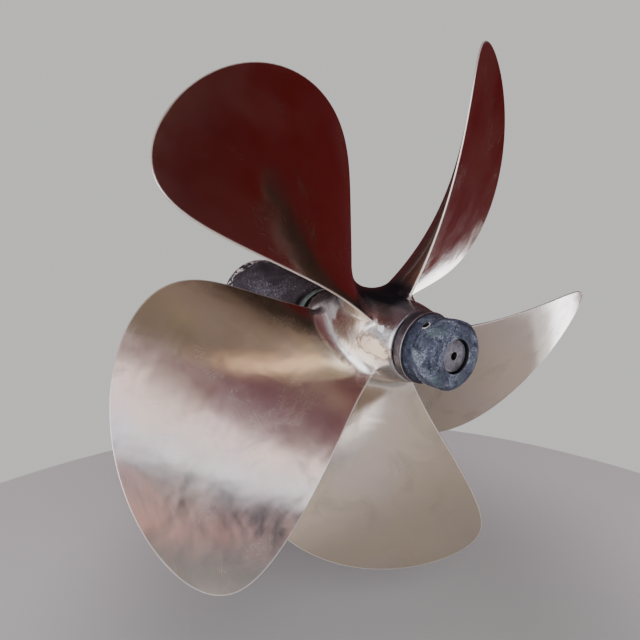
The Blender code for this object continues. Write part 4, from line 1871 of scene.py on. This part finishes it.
@dataclass
class Screws:
    """The ring's six screws and the anode's three set screws."""

    line: ShaftLine
    anode: Anode
    ring_screws: int = 6
    ring_circle: float = 0.0525
    ring_seat: float = 0.0003
    set_screw_seat: float = 0.0420
    cap: SocketScrew = SocketScrew(
        head_radius=0.0040, height=0.0030, socket_radius=0.0018, socket_depth=0.0015
    )
    grub: SocketScrew = SocketScrew(
        head_radius=0.0050, height=0.0034, socket_radius=0.0026, socket_depth=0.0024
    )

    def cap_screws(self, finish: Material) -> None:
        """Makes the ring's screws, midway between even shares of a turn.

        Args:
            finish: their material.
        """
        aft, _, _ = self.line.stations("retaining_ring")
        for k in range(self.ring_screws):
            angle = np.array(TURN * (k + 0.5) / self.ring_screws)
            seat = self.line.points(np.array(aft - self.ring_seat), np.array(self.ring_circle), angle)
            patch = self.cap.patch(seat, np.array([0.0, -1.0, 0.0]))
            mesh = mesh_from_patches(f"ring_cap_screw_{k + 1}", [patch])
            add_piece(mesh, finish, Body.FIXED, [f"ring_screw_{k + 1}"])

    def set_screws(self, finish: Material) -> None:
        """Makes the set screws in the anode's holes.

        Args:
            finish: their material.
        """
        _, forward, _ = self.line.stations("anode")
        station, radius = np.array(forward - self.anode.screw_at), np.array(self.set_screw_seat)
        for k, angle in enumerate(self.anode.screw_angles()):
            out = np.array([math.sin(angle), 0.0, math.cos(angle)])
            patch = self.grub.patch(self.line.points(station, radius, np.array(angle)), out)
            mesh = mesh_from_patches(f"anode_set_screw_{k + 1}", [patch])
            add_piece(mesh, finish, Body.TURNING, [f"anode_screw_{k + 1}"])

    def build(self, finish: Material) -> None:
        """Makes every screw in its place."""
        self.cap_screws(finish)
        self.set_screws(finish)


# Floor, light and camera


@dataclass(frozen=True)
class Lamp:
    """A soft square lamp that faces the propeller and isn't mirrored in it."""

    name: str
    place: tuple[float, float, float]
    size: float
    power: float
    colour: Colour = (0.94, 0.985, 1.0)

    def build(self) -> None:
        """Hangs the lamp."""
        data = bpy.data.lights.new(self.name, "AREA")
        data.shape = "SQUARE"
        data.size = self.size
        data.energy = self.power
        data.color = self.colour
        thing = bpy.data.objects.new(self.name, data)
        thing.location = self.place
        towards = Vector(CENTRE) - Vector(self.place)
        thing.rotation_euler = towards.to_track_quat("-Z", "Y").to_euler()
        thing.visible_glossy = False
        bpy.context.scene.collection.objects.link(thing)


@dataclass
class Studio:
    """A pale floor darkened at its middle by painted shadow, soft light and the camera at the photograph's
    angle.
    """

    floor_height: float = -0.74
    floor_radius: float = 1.55
    floor_centre: tuple[float, float] = (-0.42, -0.75)
    eye: tuple[float, float, float] = (-0.5623, -1.1435, 0.1515)
    heading: float = math.radians(32.60)
    tilt: float = math.radians(-15.43)
    roll: float = math.radians(-2.305)
    lens: float = 27.93
    shift: tuple[float, float] = (0.0044, 0.0365)
    # Painted shadow: the floor is darker near the propeller and fades to its own pale colour farther out.
    floor_shadow: Colour = (0.50, 0.505, 0.475)
    floor_far: Colour = (0.87, 0.87, 0.83)
    floor_shadow_fade: tuple[float, float] = (0.3, 0.95)
    lamps: tuple[Lamp, ...] = (
        Lamp("aft_lamp", (-1.2, -3.6, 2.2), size=2.6, power=68.0),
        Lamp("side_lamp", (-3.4, 0.4, 1.2), size=2.4, power=6.0),
    )
    backdrop: Colour = (0.66, 0.65, 0.635)
    gain: float = 4.0
    astern: Stops = (
        (-14.0, (0.45, 0.47, 0.54)),
        (-6.0, (0.33, 0.355, 0.41)),
        (1.0, (0.21, 0.235, 0.28)),
        (7.0, (0.052, 0.078, 0.115)),
        (20.0, (0.038, 0.062, 0.095)),
        (24.5, (1.70, 1.88, 2.45)),
        (30.0, (1.45, 1.45, 1.76)),
        (35.5, (2.10, 1.78, 2.02)),
        (39.5, (0.40, 0.31, 0.37)),
        (49.0, (0.19, 0.080, 0.115)),
        (56.0, (0.20, 0.10, 0.12)),
        (62.0, (0.36, 0.25, 0.23)),
        (68.0, (0.20, 0.10, 0.12)),
        (90.0, (0.10, 0.05, 0.06)),
    )
    quarter: Stops = (
        (-12.0, (0.40, 0.41, 0.46)),
        (1.0, (0.38, 0.38, 0.43)),
        (7.0, (1.15, 0.70, 0.72)),
        (17.0, (1.05, 0.77, 0.85)),
        (24.0, (1.50, 1.58, 1.95)),
        (35.0, (1.45, 1.30, 1.52)),
        (40.0, (0.40, 0.32, 0.38)),
        (60.0, (0.26, 0.14, 0.16)),
        (90.0, (0.15, 0.06, 0.07)),
    )
    port: Stops = (
        (-14.0, (0.66, 0.65, 0.70)),
        (0.0, (3.05, 3.10, 3.40)),
        (28.0, (3.05, 3.10, 3.40)),
        (45.0, (0.50, 0.44, 0.47)),
        (60.0, (0.22, 0.17, 0.19)),
        (90.0, (0.10, 0.06, 0.07)),
    )
    port_beam: Stops = (
        (-14.0, (0.66, 0.65, 0.70)),
        (-6.0, (1.70, 1.70, 1.85)),
        (6.0, (1.40, 1.40, 1.52)),
        (14.0, (0.70, 0.68, 0.74)),
        (40.0, (0.55, 0.52, 0.57)),
        (60.0, (0.22, 0.19, 0.21)),
        (90.0, (0.10, 0.06, 0.07)),
    )
    starboard: Stops = (
        (-34.0, (0.95, 0.98, 1.05)),
        (-29.5, (5.20, 5.50, 6.40)),
        (-25.7, (5.20, 5.50, 6.40)),
        (-23.9, (0.115, 0.014, 0.018)),
        (-8.0, (0.105, 0.012, 0.015)),
        (25.0, (0.092, 0.010, 0.012)),
        (45.0, (0.075, 0.014, 0.016)),
        (90.0, (0.09, 0.05, 0.055)),
    )
    bow: Stops = (
        (-20.0, (0.30, 0.30, 0.33)),
        (-6.0, (0.110, 0.018, 0.022)),
        (8.0, (0.062, 0.018, 0.021)),
        (26.0, (0.032, 0.022, 0.025)),
        (60.0, (0.042, 0.036, 0.043)),
        (90.0, (0.085, 0.075, 0.088)),
    )
    port_bow: Stops = (
        (-14.0, (0.28, 0.28, 0.31)),
        (9.0, (0.47, 0.45, 0.49)),
        (18.0, (0.46, 0.43, 0.48)),
        (30.0, (0.22, 0.19, 0.21)),
        (40.0, (0.13, 0.10, 0.11)),
        (60.0, (0.062, 0.050, 0.058)),
        (90.0, (0.085, 0.075, 0.088)),
    )

    def camera(self) -> None:
        """Places the camera: heading from the bow towards starboard, tilt up, roll about its view."""
        ahead = Vector(
            (
                math.sin(self.heading) * math.cos(self.tilt),
                math.cos(self.heading) * math.cos(self.tilt),
                math.sin(self.tilt),
            )
        )
        level = Vector((math.cos(self.heading), -math.sin(self.heading), 0.0))
        upright = level.cross(ahead)
        right = level * math.cos(self.roll) + upright * math.sin(self.roll)
        up = right.cross(ahead)
        data = bpy.data.cameras.new("camera")
        data.lens = self.lens
        data.shift_x, data.shift_y = self.shift
        thing = bpy.data.objects.new("camera", data)
        turn = Matrix((right, up, -ahead)).transposed().to_4x4()
        thing.matrix_world = Matrix.Translation(self.eye) @ turn
        bpy.context.scene.collection.objects.link(thing)
        bpy.context.scene.camera = thing

    def floor(self) -> None:
        """Makes a round floor, darker at its middle by painted shadow: rings of points whose radii grow
        evenly.
        """
        shading = Shading("pale_floor")
        distance = shading.node("ShaderNodeVectorMath", operation="DISTANCE")
        shading.feed(distance.inputs[0], shading.place())
        distance.inputs[1].default_value = (*CENTRE[:2], self.floor_height)
        # Painted shadow: the colour goes from dark under the propeller to pale with distance.
        share = shading.spread(distance.outputs["Value"], *self.floor_shadow_fade)
        base = shading.mix(share, self.floor_shadow, self.floor_far)
        finish = shading.finish(Base_Color=base, Roughness=0.85)
        radius = np.linspace(0.0, self.floor_radius, 12)[:, None]
        angle = np.linspace(0.0, TURN, 96, endpoint=False)[None, :]
        middle_x, middle_y = self.floor_centre
        x, y = middle_x + radius * np.cos(angle), middle_y + radius * np.sin(angle)
        points = np.stack(np.broadcast_arrays(x, y, self.floor_height), axis=-1)
        mesh = mesh_from_patches("floor", [Patch(points)])
        mesh.materials.append(finish)
        thing = bpy.data.objects.new("floor", mesh)
        bpy.context.scene.collection.objects.link(thing)

    def light(self, tree: NodeTree) -> Socket:
        """The light's colour by direction.

        Each quarter has its own colours by height, and the quarters blend into one another by the
        direction's share across the shaft and along it.

        Args:
            tree: the world's tree.

        Returns:
            The colour, over the gain.
        """
        split = tree.node("ShaderNodeSeparateXYZ")
        tree.feed(split.inputs[0], tree.node("ShaderNodeTexCoord").outputs["Generated"])
        across, ahead, up = (split.outputs[k] for k in "XYZ")
        height = tree.times(tree.plus(up, 1.0), 0.5)
        quarters = (
            self.astern,
            self.quarter,
            self.port,
            self.port_beam,
            self.starboard,
            self.bow,
            self.port_bow,
        )
        astern, quarter, port, port_beam, starboard, bow, port_bow = (
            tree.ramp(height, [(0.5 + 0.5 * math.sin(math.radians(e)), c) for e, c in stops], self.gain)
            for stops in quarters
        )
        slanted = tree.minus(across, tree.times(up, 0.37))
        leant = tree.plus(ahead, tree.times(tree.times(up, across), 0.60))
        return tree.layered(
            tree.mix(tree.spread(slanted, -0.33, -0.38), astern, quarter),
            (tree.spread(across, -0.55, -0.85), port),
            (tree.times(tree.spread(ahead, 0.08, 0.20), tree.spread(across, -0.3, -0.6)), port_beam),
            (tree.spread(across, 0.26, 0.42), starboard),
            (tree.spread(leant, 0.48, 0.64), tree.mix(tree.spread(across, 0.0, -0.25), bow, port_bow)),
        )

    def surroundings(self) -> None:
        """Soft surroundings: bright low astern and to port, dim and warm overhead and to starboard.

        They light the part and are mirrored in it, and the camera sees a plain colour instead.
        """
        world = bpy.data.worlds.new("surroundings")
        bpy.context.scene.world = world
        world.use_nodes = True
        world.node_tree.nodes.clear()
        tree = NodeTree(world.node_tree)
        lit = tree.node("ShaderNodeBackground")
        tree.feed(lit.inputs["Color"], self.light(tree))
        lit.inputs["Strength"].default_value = self.gain
        seen = tree.node("ShaderNodeBackground")
        seen.inputs["Color"].default_value = (*self.backdrop, 1.0)
        choose = tree.node("ShaderNodeMixShader")
        tree.feed(choose.inputs["Fac"], tree.node("ShaderNodeLightPath").outputs["Is Camera Ray"])
        tree.feed(choose.inputs[1], lit.outputs[0])
        tree.feed(choose.inputs[2], seen.outputs[0])
        tree.feed(tree.node("ShaderNodeOutputWorld").inputs["Surface"], choose.outputs[0])

    def build(self) -> None:
        """Makes the camera, floor, lamps and surroundings."""
        self.camera()
        self.floor()
        for lamp in self.lamps:
            lamp.build()
        self.surroundings()


def finishes() -> dict[Slot, Material]:
    """Makes every finish once.

    Returns:
        The materials by slot.
    """
    # Painted shade: the screws' steel is drawn near black, as if it lay in shadow.
    shaded_screws = TurnedSteel(
        name="screw_steel",
        bright=(0.10, 0.10, 0.11),
        stain=(0.04, 0.04, 0.045),
        worn=(0.16, 0.16, 0.17),
        ring_depth=0.0,
    )
    return {
        Slot.POLISHED: PolishedBronze().material(),
        Slot.BROWN: BrownBronze().material(),
        Slot.BEARING: BearingBronze().material(),
        Slot.PATINATED: PatinatedBronze().material(),
        Slot.ZINC: WeatheredZinc().material(),
        Slot.SHAFT: TurnedSteel().material(),
        Slot.SCREW: shaded_screws.material(),
        Slot.RUBBER: Rubber().material(),
        Slot.PAINT: BossPaint().material(),
    }


def main() -> None:
    logging.basicConfig(level=logging.INFO, format="%(name)s: %(message)s")
    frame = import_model()
    joint = frame["record"]["behaviour"]["joints"][0]
    line = ShaftLine(np.array(joint["pos_m"], float))
    anode = Anode(line)
    made = finishes()
    Studio().build()
    Propeller(line).build(made[Slot.POLISHED])
    NutAndSeals(line).build(made[Slot.BROWN], made[Slot.RUBBER])
    anode.build(made[Slot.ZINC])
    ShaftEnd(line).build(made[Slot.SHAFT])
    SternBoss(line).build(made)
    Screws(line, anode).build(made[Slot.SCREW])


if __name__ == "__main__":
    main()
